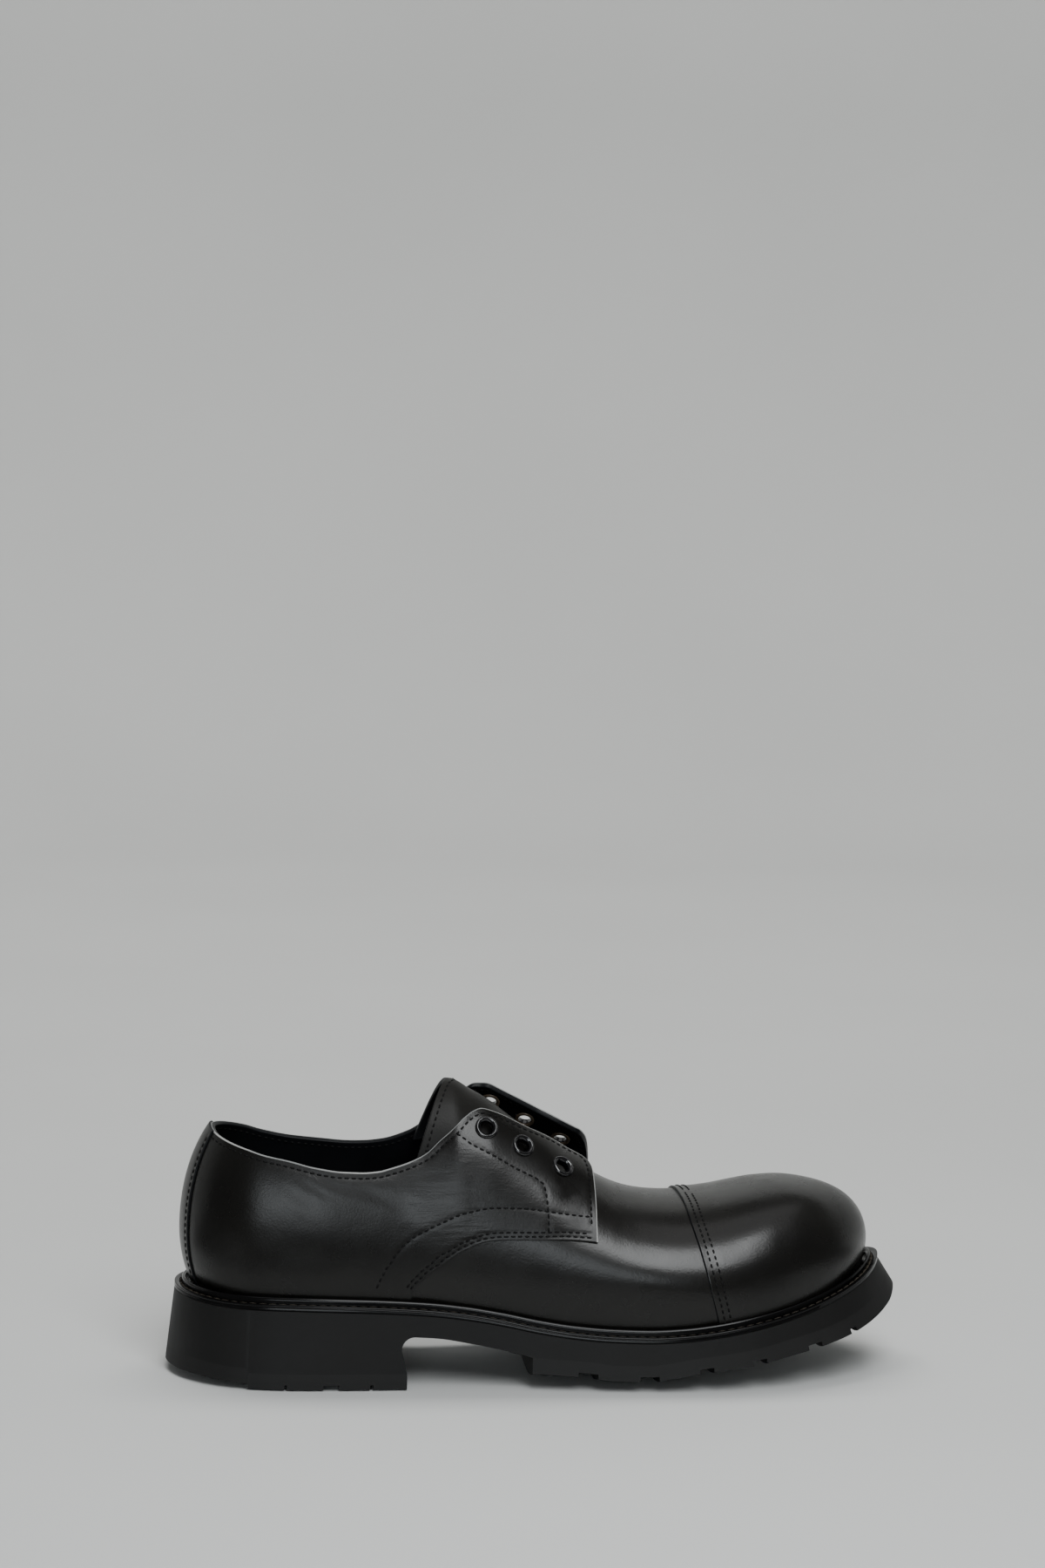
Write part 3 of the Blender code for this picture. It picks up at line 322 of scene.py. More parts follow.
# Soft creases in the quarters, each from one place to another.
CREASES = (
    # share of the foot line and of the section at the start, then at the end, half width, depth
    (0.175, 0.535, 0.235, 0.47, 0.0016, 0.00008),
    (0.19, 0.548, 0.262, 0.492, 0.0018, 0.00009),
    (0.16, 0.5, 0.205, 0.44, 0.002, 0.00007),
    (0.245, 0.515, 0.33, 0.478, 0.0022, 0.00008),
    (0.262, 0.488, 0.352, 0.452, 0.002, 0.00008),
    (0.285, 0.462, 0.365, 0.436, 0.0022, 0.00008),
    (0.3, 0.54, 0.372, 0.56, 0.0026, 0.00008),
    (0.318, 0.512, 0.402, 0.522, 0.0022, 0.00008),
    (0.06, 0.3, 0.13, 0.24, 0.006, 0.0002),
    (0.15, 0.33, 0.24, 0.27, 0.006, 0.0002),
)

# How far a crease sags between its ends, and the low roll beside it, in half widths and in depths.
CREASE_DIP = 0.012
ROLL_AWAY = 2.1
ROLL_HEIGHT = 0.45
CREASE_FADE = 0.7


def hermite(t, run, start, end, leaving, arriving):
    """Cubic from start to end over a run, by the slopes at both."""
    return (
        (1 + 2 * t) * (1 - t) ** 2 * start
        + t * (1 - t) ** 2 * run * leaving
        + t * t * (3 - 2 * t) * end
        + t * t * (t - 1) * run * arriving
    )


def walked(points):
    """How far along a line of points each of them is."""
    return np.concatenate([[0], np.cumsum(np.linalg.norm(np.diff(points, axis=0), axis=1))])


def read_at(x, xs, rows):
    """The columns of the rows that stand at xs, read at x."""
    return np.stack([np.interp(x, xs, column) for column in np.transpose(rows)], -1)


def curve(table, x, column=1):
    """Monotone cubic through two columns of a table: it never swings past its points."""
    rows = np.array(table, float)
    xs, ys = rows[:, 0], rows[:, column]
    x = np.clip(np.asarray(x, float), xs[0], xs[-1])
    run = np.diff(xs)
    slope = np.diff(ys) / run
    ends = np.zeros_like(ys)
    ends[0], ends[-1] = slope[0], slope[-1]
    for i in range(1, len(xs) - 1):
        if slope[i - 1] * slope[i] > 0:
            near = 2 * run[i] + run[i - 1]
            far = run[i] + 2 * run[i - 1]
            ends[i] = (near + far) / (near / slope[i - 1] + far / slope[i])
    k = np.clip(np.searchsorted(xs, x, side="right") - 1, 0, len(xs) - 2)
    t = (x - xs[k]) / run[k]
    return hermite(t, run[k], ys[k], ys[k + 1], ends[k], ends[k + 1])


def along(x):
    """Share of the sole's length at x."""
    return (np.asarray(x, float) + HEEL_REST) / SOLE_LENGTH


def closed_spline(points, count):
    """A smooth closed curve through the points, read at count places spaced by its own length."""
    p = np.asarray(points, float)
    n = len(p)
    chord = np.linalg.norm(np.roll(p, -1, 0) - p, axis=1)
    system = np.zeros((n, n))
    wanted = np.zeros((n, 2))
    for i in range(n):
        before, after, ahead = chord[i - 1], chord[i], (i + 1) % n
        system[i, i - 1] = after
        system[i, i] = 2 * (before + after)
        system[i, ahead] = before
        wanted[i] = 3 * (after * (p[i] - p[i - 1]) / before + before * (p[ahead] - p[i]) / after)
    slope = np.linalg.solve(system, wanted)
    t = np.linspace(0, 1, 96, endpoint=False)[:, None]
    pieces = [hermite(t, chord[i], p[i], p[(i + 1) % n], slope[i], slope[(i + 1) % n]) for i in range(n)]
    dense = np.vstack(pieces + [p[:1]])
    run = walked(dense)
    return read_at(np.linspace(0, run[-1], count, endpoint=False), run, dense)


def outward(loop):
    """Unit normals of a loop in plan, pointing away from its middle."""
    ahead = np.roll(loop, -1, 0) - np.roll(loop, 1, 0)
    ahead /= np.linalg.norm(ahead, axis=1)[:, None]
    normals = np.column_stack([ahead[:, 1], -ahead[:, 0]])
    if ((loop - loop.mean(0)) * normals).sum() < 0:
        normals = -normals
    return normals


def sides(loop, values=None):
    """A loop, or values along it, split at its tip into two runs from heel to toe."""
    values = loop if values is None else values
    tip = int(np.argmax(loop[:, 0]))
    return {OUTER: values[: tip + 1], INNER: np.vstack([values[tip:], values[:1]])[::-1]}


def ledge(x):
    """Height of the welt's upper face at x."""
    share = along(x)
    drop = (HEEL_HEIGHT - BALL_HEIGHT) * curve(LEDGE, share, 1)
    return BALL_HEIGHT + drop + TOE_RISE * curve(LEDGE, share, 2)


EDGE_LOOP = closed_spline([(a * SOLE_LENGTH - HEEL_REST, b * SOLE_WIDTH) for a, b in WELT_EDGE], 2880)
EDGE_NORMALS = outward(EDGE_LOOP)
FOOT_LOOP = EDGE_LOOP - EDGE_NORMALS * (FOOT_MARGIN * curve(MARGIN, along(EDGE_LOOP[:, 0])))[:, None]
FOOT_SIDES = sides(FOOT_LOOP)
FOOT_LENGTH = np.linalg.norm(np.diff(FOOT_SIDES[OUTER], axis=0), axis=1).sum()


def foot_point(side, share):
    """A point of the upper's foot line in plan, by the share of that side's length."""
    length = walked(FOOT_SIDES[side])
    return read_at(share, length / length[-1], FOOT_SIDES[side])


def middle(x):
    """Middle of the foot line across the shoe at x."""
    ends = [np.interp(x, FOOT_SIDES[side][:, 0], FOOT_SIDES[side][:, 1]) for side in (OUTER, INNER)]
    return (ends[0] + ends[1]) / 2


def last_point(w, t):
    """Surface of the last: w runs 0 to 1 up the outer side and 1 to 2 home, t from foot to ridge."""
    w, t = np.broadcast_arrays(np.mod(w, 2.0), np.clip(t, 0.0, 1.0))
    outer_side = w <= 1
    share = np.where(outer_side, w, 2 - w)
    foot = np.where(outer_side[..., None], foot_point(OUTER, share), foot_point(INNER, share))
    spine_x = curve(SPINE, share) * SOLE_LENGTH - HEEL_REST
    spine = np.stack([spine_x, middle(spine_x)], -1)
    top = curve(RIDGE, along(spine_x)) * UPPER_HEIGHT
    reach = np.linalg.norm(foot - spine, axis=-1)
    outwards = (foot - spine) / reach[..., None]
    widest = reach + BULGE * curve(SECTION, share, 1)
    base = ledge(foot[..., 0])
    belly = curve(SECTION, share, 2) * UPPER_HEIGHT
    square = curve(SECTION, share, 3)
    low = np.clip(t / RIDGE_START, 0, 1)
    turn = np.clip((t - RIDGE_START) / (1 - RIDGE_START), 0, 1) * math.pi / 2
    knee = base + KNEE * (belly - base)
    low_out = reach * (1 - low) ** 2 + widest * (2 * low * (1 - low) + low * low)
    low_up = base * (1 - low) ** 2 + knee * 2 * low * (1 - low) + belly * low * low
    high_out = widest * np.maximum(np.cos(turn), 0) ** (2 / square)
    high_up = belly + (top - belly) * np.sin(turn)
    is_low = t < RIDGE_START
    out = np.where(is_low, low_out, high_out)
    up = np.where(is_low, low_up, high_up)
    plan = spine + outwards * out[..., None]
    return np.concatenate([plan, up[..., None]], -1)


def last_normal(w, t):
    """Outward unit normals of the last, level along its foot."""
    nudge = 4e-4
    t = np.clip(t, nudge, 1 - 4 * nudge)
    across = last_point(w, t + nudge) - last_point(w, t - nudge)
    lengthwise = last_point(w + nudge, t) - last_point(w - nudge, t)
    normal = unit(np.cross(lengthwise, across))
    here = last_point(w, t)
    spine_start, spine_end = (row[1] * SOLE_LENGTH - HEEL_REST for row in (SPINE[0], SPINE[-1]))
    core_x = np.clip(here[..., 0], spine_start, spine_end)
    core = np.stack([core_x, middle(here[..., 0]), np.full(core_x.shape, HEEL_HEIGHT)], -1)
    facing = ((here - core) * normal).sum(-1)
    normal[facing < 0] *= -1
    return normal


def flap_lift(w, t):
    """How far the open flaps stand off the last."""
    w, t = np.broadcast_arrays(np.mod(w, 2.0), t)
    share = np.where(w <= 1, w, 2 - w)
    outer = OUTER_FLAP_SPREAD * curve(SPREAD[OUTER], share)
    inner = INNER_FLAP_SPREAD * curve(SPREAD[INNER], share)
    rise = np.clip((t - SPREAD_FOOT) / (SPREAD_TOP - SPREAD_FOOT), 0, 1)
    return np.where(w <= 1, outer, inner) * rise * rise * (3 - 2 * rise)


def unit(vectors):
    """The vectors, each one long."""
    return vectors / np.maximum(np.linalg.norm(vectors, axis=-1), 1e-12)[..., None]


def surface(w, t, lift=0.0, open_flaps=False):
    """Points that stand off the last by lift, and the way out there. Open flaps are carried aside."""
    w, t, lift = np.broadcast_arrays(np.asarray(w, float), np.asarray(t, float), np.asarray(lift, float))
    points = last_point(w, t)
    normals = last_normal(w, t)
    sideways = unit(normals * (0, 1, 1))
    foot = t <= 0
    normals[foot, 2] = 0
    keys = np.round(points.reshape(-1, 3) * 1e6).astype(np.int64)
    _, group = np.unique(keys, axis=0, return_inverse=True)
    group = group.reshape(-1)
    flat = normals.reshape(-1, 3)
    sums = np.stack([np.bincount(group, flat[:, k]) for k in range(3)], -1)
    normals = unit(sums[group]).reshape(points.shape)
    moved = points + normals * lift[..., None]
    moved[foot, 2] = ledge(moved[foot, 0])
    if open_flaps:
        moved = moved + sideways * flap_lift(w, t)[..., None]
    return moved, normals


def refined(w, t, times):
    """The line's w and t with this many times as many points."""
    fine = np.linspace(0, len(w) - 1, times * len(w))
    return np.interp(fine, np.arange(len(w)), w), np.interp(fine, np.arange(len(w)), t)


def spaced(w, t, count, lift, open_flaps=False):
    """The w and t of points spaced evenly by length along a line on the surface."""
    fine_w, fine_t = refined(w, t, 40)
    run = walked(surface(fine_w, fine_t, lift, open_flaps)[0])
    want = np.linspace(0, run[-1], count)
    return np.interp(want, run, fine_w), np.interp(want, run, fine_t)


def inset(w, t, distance, lift, open_flaps=False):
    """A line on the surface beside another one, towards its left as seen from outside."""
    w, t = np.asarray(w, float), np.asarray(t, float)
    points, normals = surface(w, t, lift, open_flaps)
    ahead = np.gradient(points, axis=0)
    wanted = unit(np.cross(normals, ahead)) * distance
    step = 1e-3

    def change(to_w, to_t):
        ends = [surface(w + way * to_w, t + way * to_t, lift, open_flaps)[0] for way in (1, -1)]
        return (ends[0] - ends[1]) / (2 * step)

    per_w, per_t = change(step, 0), change(0, step)
    ww, wt, tt = (per_w * per_w).sum(-1), (per_w * per_t).sum(-1), (per_t * per_t).sum(-1)
    rw, rt = (per_w * wanted).sum(-1), (per_t * wanted).sum(-1)
    scale = ww * tt - wt * wt
    return w + (rw * tt - rt * wt) / scale, t + (rt * ww - rw * wt) / scale


def levels(share, count):
    """Shares t spaced evenly by length up the section at a share of the foot line."""
    t = np.linspace(0, 1, 600)
    run = walked(last_point(np.full(t.shape, share), t))
    return np.interp(np.linspace(0, run[-1], count), run, t)


def supported(count, near):
    """Shares from 0 to 1 with one more row close to each end, to keep edges crisp."""
    inner = np.linspace(near, 1 - near, count - 2)
    return np.concatenate([[0], inner, [1]])


def side_w(side, share):
    """The place w round the last of a share of one side's foot line."""
    return share if side == OUTER else 2 - share


def new_look(name, values):
    """A material with these numbers on its shader's own sockets, and its node tree."""
    made = bpy.data.materials.new(name)
    made.use_nodes = True
    shader = made.node_tree.nodes["Principled BSDF"]
    for socket, value in values.items():
        shader.inputs[socket].default_value = value
    return made, made.node_tree, shader


def add_node(tree, kind, sources, values=(), **settings):
    """A shader node: what feeds its sockets, its other sockets' values, and its settings."""
    made = tree.nodes.new("ShaderNode" + kind)
    for name, value in settings.items():
        setattr(made, name, value)
    for socket, value in dict(values).items():
        made.inputs[socket].default_value = value
    for socket, source in sources.items():
        tree.links.new(source, made.inputs[socket])
    return made


def on_shoe(tree):
    """The place on the shoe, in metres."""
    return tree.nodes.new("ShaderNodeTexCoord").outputs["Object"]


def texture(tree, kind, scale, stretch=(1.0, 1.0, 1.0), **values):
    """A procedural texture in the shoe's own metres, and its first output."""
    place = add_node(tree, "Mapping", {"Vector": on_shoe(tree)}, {"Scale": stretch}).outputs["Vector"]
    return add_node(tree, kind, {"Vector": place}, {"Scale": scale, **values}).outputs[0]


def noise(tree, scale, detail=3.0, stretch=(1.0, 1.0, 1.0)):
    """Cloudy noise with this many spots in a metre."""
    return texture(tree, "TexNoise", scale, stretch, Detail=detail)


def shades(tree, factor, first, second):
    """A colour that runs from the first to the second with a factor."""
    ramp = add_node(tree, "ValToRGB", {"Fac": factor})
    start, end = ramp.color_ramp.elements
    start.position, end.position = 0.35, 0.65
    start.color, end.color = (*first, 1), (*second, 1)
    return ramp.outputs["Color"]


def ranged(tree, factor, low, high):
    """A number that runs between two values with a factor."""
    values = {"From Min": 0.3, "From Max": 0.7, "To Min": low, "To Max": high}
    return add_node(tree, "MapRange", {"Value": factor}, values).outputs["Result"]


def bumped(tree, shader, layers):
    """Bump from several heights, each with its depth in metres."""
    below = {}
    for height, depth in layers:
        bump = add_node(tree, "Bump", {"Height": height, **below}, {"Distance": depth})
        below = {"Normal": bump.outputs["Normal"]}
    tree.links.new(below["Normal"], shader.inputs["Normal"])


def round_mask(tree, centre, reach):
    """A number that fades from 1 at a place on the shoe to 0 at a distance from it."""
    away = add_node(tree, "VectorMath", {0: on_shoe(tree)}, {1: centre}, operation="DISTANCE")
    sources = {"Value": away.outputs["Value"]}
    values = {"From Min": reach, "From Max": 0.25 * reach}
    return add_node(tree, "MapRange", sources, values, interpolation_type="SMOOTHSTEP").outputs["Result"]


def joined(tree, operation, first, second):
    """Two numbers put together."""
    return add_node(tree, "Math", {0: first, 1: second}, operation=operation).outputs[0]


def leather(name, dark, light, rough, grain, wave, shine=0.36, wrinkled=(), streaked=()):
    """Leather: two shades, a soft unevenness, fine grain and pores, and where wear streaks its roughness or
    it is creased.
    """
    made, tree, shader = new_look(name, {"Specular IOR Level": shine})
    cloud = noise(tree, 28.0)
    tree.links.new(shades(tree, cloud, dark, light), shader.inputs["Base Color"])
    roughness = ranged(tree, noise(tree, 60.0, 4.0), *rough)
    for centre, reach, depth in streaked:
        streaks = ranged(tree, noise(tree, 210.0, 5.0, (1.0, 1.0, 0.45)), -depth, depth)
        wear_and_painted_highlight = joined(tree, "MULTIPLY", streaks, round_mask(tree, centre, reach))
        roughness = joined(tree, "ADD", roughness, wear_and_painted_highlight)
    tree.links.new(roughness, shader.inputs["Roughness"])
    layers = [(noise(tree, 75.0, 2.0), wave), (noise(tree, 1300.0, 2.0), grain)]
    layers.append((texture(tree, "TexVoronoi", 900.0), grain / 2))
    for centre, reach, depth in wrinkled:
        lines = noise(tree, 520.0, 3.0, (0.13, 1.0, 1.0))
        layers.append((joined(tree, "MULTIPLY", lines, round_mask(tree, centre, reach)), depth))
    bumped(tree, shader, layers)
    return made


def rubber(name, dark, light, rough, grain, shine):
    """Moulded rubber with a fine even grain and a little dust."""
    made, tree, shader = new_look(name, {"Specular IOR Level": shine})
    dust = noise(tree, 45.0, 5.0)
    tree.links.new(shades(tree, dust, dark, light), shader.inputs["Base Color"])
    tree.links.new(ranged(tree, dust, *rough), shader.inputs["Roughness"])
    bumped(tree, shader, ((noise(tree, 1100.0, 2.0), grain), (noise(tree, 160.0, 2.0), 2 * grain)))
    return made


def thread(name, dark, light):
    """Twisted thread."""
    made, tree, shader = new_look(name, {"Roughness": 0.7, "Specular IOR Level": 0.2})
    twist = noise(tree, 2600.0, 1.0)
    tree.links.new(shades(tree, twist, dark, light), shader.inputs["Base Color"])
    bumped(tree, shader, ((twist, 0.00006),))
    return made


def metal(name, colour, metallic, rough, coat):
    """Turned metal, bare or enamelled, with faint handling marks."""
    made, tree, shader = new_look(name, {"Metallic": metallic, "Coat Weight": coat, "Coat Roughness": 0.06})
    marks = noise(tree, 700.0, 4.0)
    lighter = [1.3 * part for part in colour]
    tree.links.new(shades(tree, marks, colour, lighter), shader.inputs["Base Color"])
    tree.links.new(ranged(tree, marks, *rough), shader.inputs["Roughness"])
    return made


BLACK = ((0.0028, 0.0026, 0.0022), (0.0042, 0.0039, 0.0032))
WRINKLED = (
    # middle of the place, its reach, depth of the wrinkles
    ((0.058, -0.036, 0.084), 0.034, 0.00011),
    ((0.080, -0.036, 0.066), 0.026, 0.00009),
    ((0.058, 0.036, 0.084), 0.034, 0.00011),
)
STREAKED = (
    # middle of the place, its reach, change of roughness
    ((0.108, -0.034, 0.080), 0.020, 0.07),
    ((0.108, 0.034, 0.080), 0.020, 0.07),
)

# Leathers and rubbers have a darker and a lighter shade, a roughness from and to, and depths in metres.
LOOKS = {
    "box": leather("box_leather", *BLACK, (0.25, 0.30), 0.00003, 0.00012),
    "quarter": leather(
        "quarter_leather", *BLACK, (0.26, 0.33), 0.00003, 0.00014, 0.32, WRINKLED, STREAKED
    ),
    "lining": leather(
        "lining_leather", (0.0012, 0.0015, 0.0022), (0.0020, 0.0025, 0.0036), (0.45, 0.55),
        0.00003, 0.0001, 0.3,
    ),
    "tongue": leather(
        "tongue_leather", (0.0080, 0.0077, 0.0070), (0.0125, 0.0120, 0.0108), (0.38, 0.48),
        0.00004, 0.00016, 0.14,
    ),
    # Painted highlight: light grey on the face's side of the quarters' top edge and on the thin band of
    # face beside it, where the rounded arris catches the light.
    "edge": leather("painted_edge_highlight", (0.15, 0.155, 0.155), (0.32, 0.32, 0.31), (0.45, 0.60), 0.00005, 0.0001),
    "ink": leather(
        "inked_edge", (0.003, 0.0034, 0.0042), (0.005, 0.0056, 0.0066), (0.40, 0.50), 0.00005, 0.0001, 0.18
    ),
    "sock": leather(
        "sock_leather", (0.004, 0.0045, 0.006), (0.006, 0.0065, 0.008), (0.50, 0.60), 0.00004, 0.0001
    ),
    "thread": thread("black_thread", (0.0006, 0.0006, 0.0007), (0.0018, 0.0018, 0.0018)),
    "welt_thread": thread("waxed_thread", (0.008, 0.006, 0.0045), (0.045, 0.038, 0.028)),
    "welt": rubber(
        "welt_rubber", (0.0016, 0.0016, 0.0018), (0.0026, 0.0026, 0.0026), (0.13, 0.19), 0.000006, 0.2
    ),
    "sole": rubber(
        "sole_rubber", (0.0032, 0.0032, 0.0033), (0.0046, 0.0046, 0.0044), (0.50, 0.62), 0.00003, 0.25
    ),
    "tread": rubber(
        "tread_rubber", (0.0042, 0.0042, 0.0042), (0.0062, 0.0062, 0.0060), (0.55, 0.68), 0.00003, 0.3
    ),
    "enamel": metal("black_enamel", (0.002, 0.002, 0.0025), 0.0, (0.08, 0.14), 0.5),
    "bronze": metal("bronze_back", (0.070, 0.052, 0.036), 0.2, (0.28, 0.40), 0.0),
    "cork": leather("cork", (0.24, 0.15, 0.08), (0.36, 0.24, 0.13), (0.80, 0.95), 0.0003, 0.0002),
}


def banded(index):
    """Faces between neighbouring rows of a grid of point numbers, where each row closes on itself."""
    turned = np.roll(index, -1, 1)
    return np.stack([index[:-1], turned[:-1], turned[1:], index[1:]], -1).reshape(-1, 4)


def new_object(name, points, faces, looks, slots=None, weld=0.0, sharp=None):
    """A smooth object from points and faces."""
    mesh = bpy.data.meshes.new(name)
    mesh.from_pydata(np.asarray(points).tolist(), [], [list(face) for face in faces])
    for look in looks:
        mesh.materials.append(LOOKS[look])
    if slots is not None:
        mesh.polygons.foreach_set("material_index", slots)
    shape = bmesh.new()
    shape.from_mesh(mesh)
    if weld:
        bmesh.ops.remove_doubles(shape, verts=shape.verts, dist=weld)
        bmesh.ops.dissolve_degenerate(shape, dist=WELD / 10, edges=shape.edges)
    bmesh.ops.recalc_face_normals(shape, faces=shape.faces)
    shape.to_mesh(mesh)
    shape.free()
    mesh.shade_smooth()
    if sharp:
        mesh.set_sharp_from_angle(angle=math.radians(sharp))
    made = bpy.data.objects.new(name, mesh)
    bpy.context.scene.collection.objects.link(made)
    return made


def add_mesh(name, *form, **settings):
    """A new object that rides with the shoe."""
    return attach(new_object(name, *form, **settings), BODY)


def nearest(points, targets):
    """Distance from each point to the closest target, and which one it is."""
    tree = KDTree(len(targets))
    for i, target in enumerate(targets):
        tree.insert(target, i)
    tree.balance()
    found = [tree.find(point) for point in points]
    return np.array([hit[2] for hit in found]), np.array([hit[1] for hit in found])


def relief(points, seams, creases=()):
    """How the leather is pulled down along its seams, and rolls over its creases."""
    flat = points.reshape(-1, 3)
    distance, _ = nearest(flat, np.vstack(seams))
    lift = -SEAM_DEPTH * np.exp(-((distance / SEAM_HALF_WIDTH) ** 2))
    for line, half_width, depth in creases:
        reach = 4 * half_width
        close = ((flat > line.min(0) - reach) & (flat < line.max(0) + reach)).all(1)
        if close.any():
            away, spot = nearest(flat[close], line)
            fade = np.sin(math.pi * (spot + 0.5) / len(line)) ** CREASE_FADE
            trough = np.exp(-((away / half_width) ** 2))
            roll = np.exp(-((away / half_width - ROLL_AWAY) ** 2))
            lift[close] += depth * fade * (ROLL_HEIGHT * roll - trough)
    return lift.reshape(points.shape[:-1])


def shell(
    name, w, t, lift, wall, looks, open_flaps=False, tip_joined=False, seams=(), creases=(), holes=(),
    dark_rim=0,
):
    """A wall of leather over a grid of places: its face, its back and a rounded edge between them.

    The looks are for the face, the face's side of the edge, the back, and the back's side of the edge.
    The first dark_rim points of the edge keep the face's look; along the others, the face's last band of
    faces takes the second look, which on the quarters is a painted highlight.
    """
    w, t = np.broadcast_arrays(w, t)
    face, normals = surface(w, t, lift, open_flaps)
    if seams:
        face = face + normals * relief(face, seams, creases)[..., None]
    back, _ = surface(w, t, np.asarray(lift) - wall, open_flaps)
    rows, cols = w.shape
    index = np.arange(rows * cols).reshape(rows, cols)
    quads = np.stack([index[:-1, :-1], index[1:, :-1], index[1:, 1:], index[:-1, 1:]], -1).reshape(-1, 4)
    for centre, facing in holes:
        from_hole = face.reshape(-1, 3)[quads].mean(1) - centre
        off_axis = from_hole - (from_hole @ facing)[:, None] * facing
        outside = np.linalg.norm(off_axis, axis=1) > EYELET_HOLE
        quads = quads[outside | (np.abs(from_hole @ facing) > 4 * wall)]
    if tip_joined:
        border = np.concatenate([index[::-1, 0], index[0, 1:], index[1:, -1]])
    else:
        border = np.concatenate([index[:, 0], index[-1, 1:], index[-2::-1, -1], index[0, -2::-1]])
    row, col = np.clip(border // cols, 1, rows - 2), np.clip(border % cols, 1, cols - 2)
    from_face, from_back = face.reshape(-1, 3)[border], back.reshape(-1, 3)[border]
    away = unit(from_face - face.reshape(-1, 3)[index[row, col]])
    # Past the first dark_rim points, the face's last band of faces along the edge takes the second look: on
    # the quarters, a painted highlight.
    if dark_rim:
        row_of, col_of = quads[:, 0] // cols, quads[:, 0] % cols
        wear_and_painted_highlight = (col_of == cols - 2) | (row_of == 0) | (row_of == rows - 2)
    else:
        wear_and_painted_highlight = np.zeros(len(quads), bool)
    points = [face.reshape(-1, 3), back.reshape(-1, 3)]
    loops = [border]
    start = 2 * rows * cols
    for share, bulge in EDGE_ROWS:
        points.append(from_face + (from_back - from_face) * share + away * EDGE_ROUND * bulge)
        loops.append(start + np.arange(len(border)))
        start += len(border)
    loops.append(border + rows * cols)
    faces = [quads, quads[:, ::-1] + rows * cols]
    slots = [wear_and_painted_highlight.astype(int), np.full(len(quads), 2)]
    for first, second, slot in zip(loops[:-1], loops[1:], EDGE_BANDS):
        faces.append(np.stack([first[:-1], first[1:], second[1:], second[:-1]], -1))
        slots.append(np.where(np.arange(len(border) - 1) < dark_rim - 1, 0, slot))
    slots = np.concatenate(slots).astype(int)
    return add_mesh(name, np.vstack(points), np.vstack(faces), looks, slots, weld=WELD)


def strung(points, normals, pitch):
    """Places of stitches along close points: where, which way along and which way out."""
    run = walked(points)
    want = np.arange(pitch / 2, run[-1], pitch)
    spots = read_at(want, run, points)
    out = unit(read_at(want, run, normals))
    ahead = read_at(want, run, np.gradient(points, axis=0))
    ahead = unit(ahead - out * (ahead * out).sum(-1)[:, None])
    return spots, ahead, out


def laid(w, t, lift, open_flaps=False, pitch=STITCH_PITCH):
    """Places of stitches along a line on the surface."""
    return strung(*surface(*refined(w, t, 20), lift, open_flaps), pitch)


def add_stitches(name, runs, look, length=STITCH_LENGTH, radius=STITCH_RADIUS, sink=STITCH_SINK):
    """All the stitches of a seam as one mesh: short rods with round ends, half sunk in the leather."""
    ring = np.linspace(0, 2 * math.pi, STITCH_SIDES, endpoint=False)
    last = STITCH_SIDES * (len(STITCH_FORM) - 1)
    points, faces = [], []
    for places, ahead, out in runs:
        for centre, way, up in zip(places, ahead, out):
            side = np.cross(up, way)
            start = len(points)
            for share, girth in STITCH_FORM:
                spot = centre + way * share * length - up * radius * (sink + STITCH_BEND * share * share)
                points += [spot + (side * math.cos(a) + up * math.sin(a)) * radius * girth for a in ring]
            for row in range(start, start + last, STITCH_SIDES):
                for j in range(STITCH_SIDES):
                    a, b = row + j, row + (j + 1) % STITCH_SIDES
                    faces.append((a, b, b + STITCH_SIDES, a + STITCH_SIDES))
            faces.append(tuple(range(start, start + STITCH_SIDES)))
            faces.append(tuple(range(start + last, start + last + STITCH_SIDES)))
    return add_mesh(name, points, faces, (look,))


def both_sides(line):
    """A line of (share, t) on the outer side and its mirror on the inner side, as (w, t)."""
    share, t = np.array(line, float).T
    return ((share, t), (2 - share, t))


def beside(line, distance, lift, open_flaps=False):
    """The line moved aside on both sides of the shoe, away from the edge that it follows."""
    share, t = np.array(line, float).T
    return [inset(side_w(side, share), t, -side * distance, lift, open_flaps) for side in (OUTER, INNER)]


def evened(values, reach=9):
    """The values with their small kinks smoothed out, and both ends kept."""
    padded = np.concatenate([np.full(reach, values[0]), values, np.full(reach, values[-1])])
    smooth = np.convolve(padded, np.full(2 * reach + 1, 1 / (2 * reach + 1)), "valid")
    fade = np.clip(np.minimum(np.arange(len(values)), np.arange(len(values))[::-1]) / reach, 0, 1)
    return values + (smooth - values) * fade


def seam_lines(runs, lift, open_flaps=False):
    """Close points along all these lines, for their troughs."""
    return [laid(w, t, lift, open_flaps, STITCH_PITCH / 6)[0] for w, t in runs]


def stitched(name, runs, lift, look, open_flaps=False):
    """One mesh of stitches along all these lines."""
    return add_stitches(name, [laid(w, t, lift, open_flaps) for w, t in runs], look)


def build_vamp():
    """The vamp, from its hidden rear edges to under the cap."""
    up = levels(VAMP_SECTION, 84)
    rise = np.concatenate([up, up[-2::-1]])
    rear, front = curve(VAMP_REAR, rise), curve(CAP_EDGE, rise) + CAP_OVERLAP
    run = supported(120, EDGE_SUPPORT / VAMP_RUN)
    share = rear[:, None] + (front - rear)[:, None] * run[None, :]
    on_outer = (np.arange(len(rise)) < len(up))[:, None]
    w = np.where(on_outer, share, 2 - share)
    vamp = shell("vamp", w, rise[:, None], 0.0, VAMP_WALL, ("box", "box", "lining", "ink"))
    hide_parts("upper")


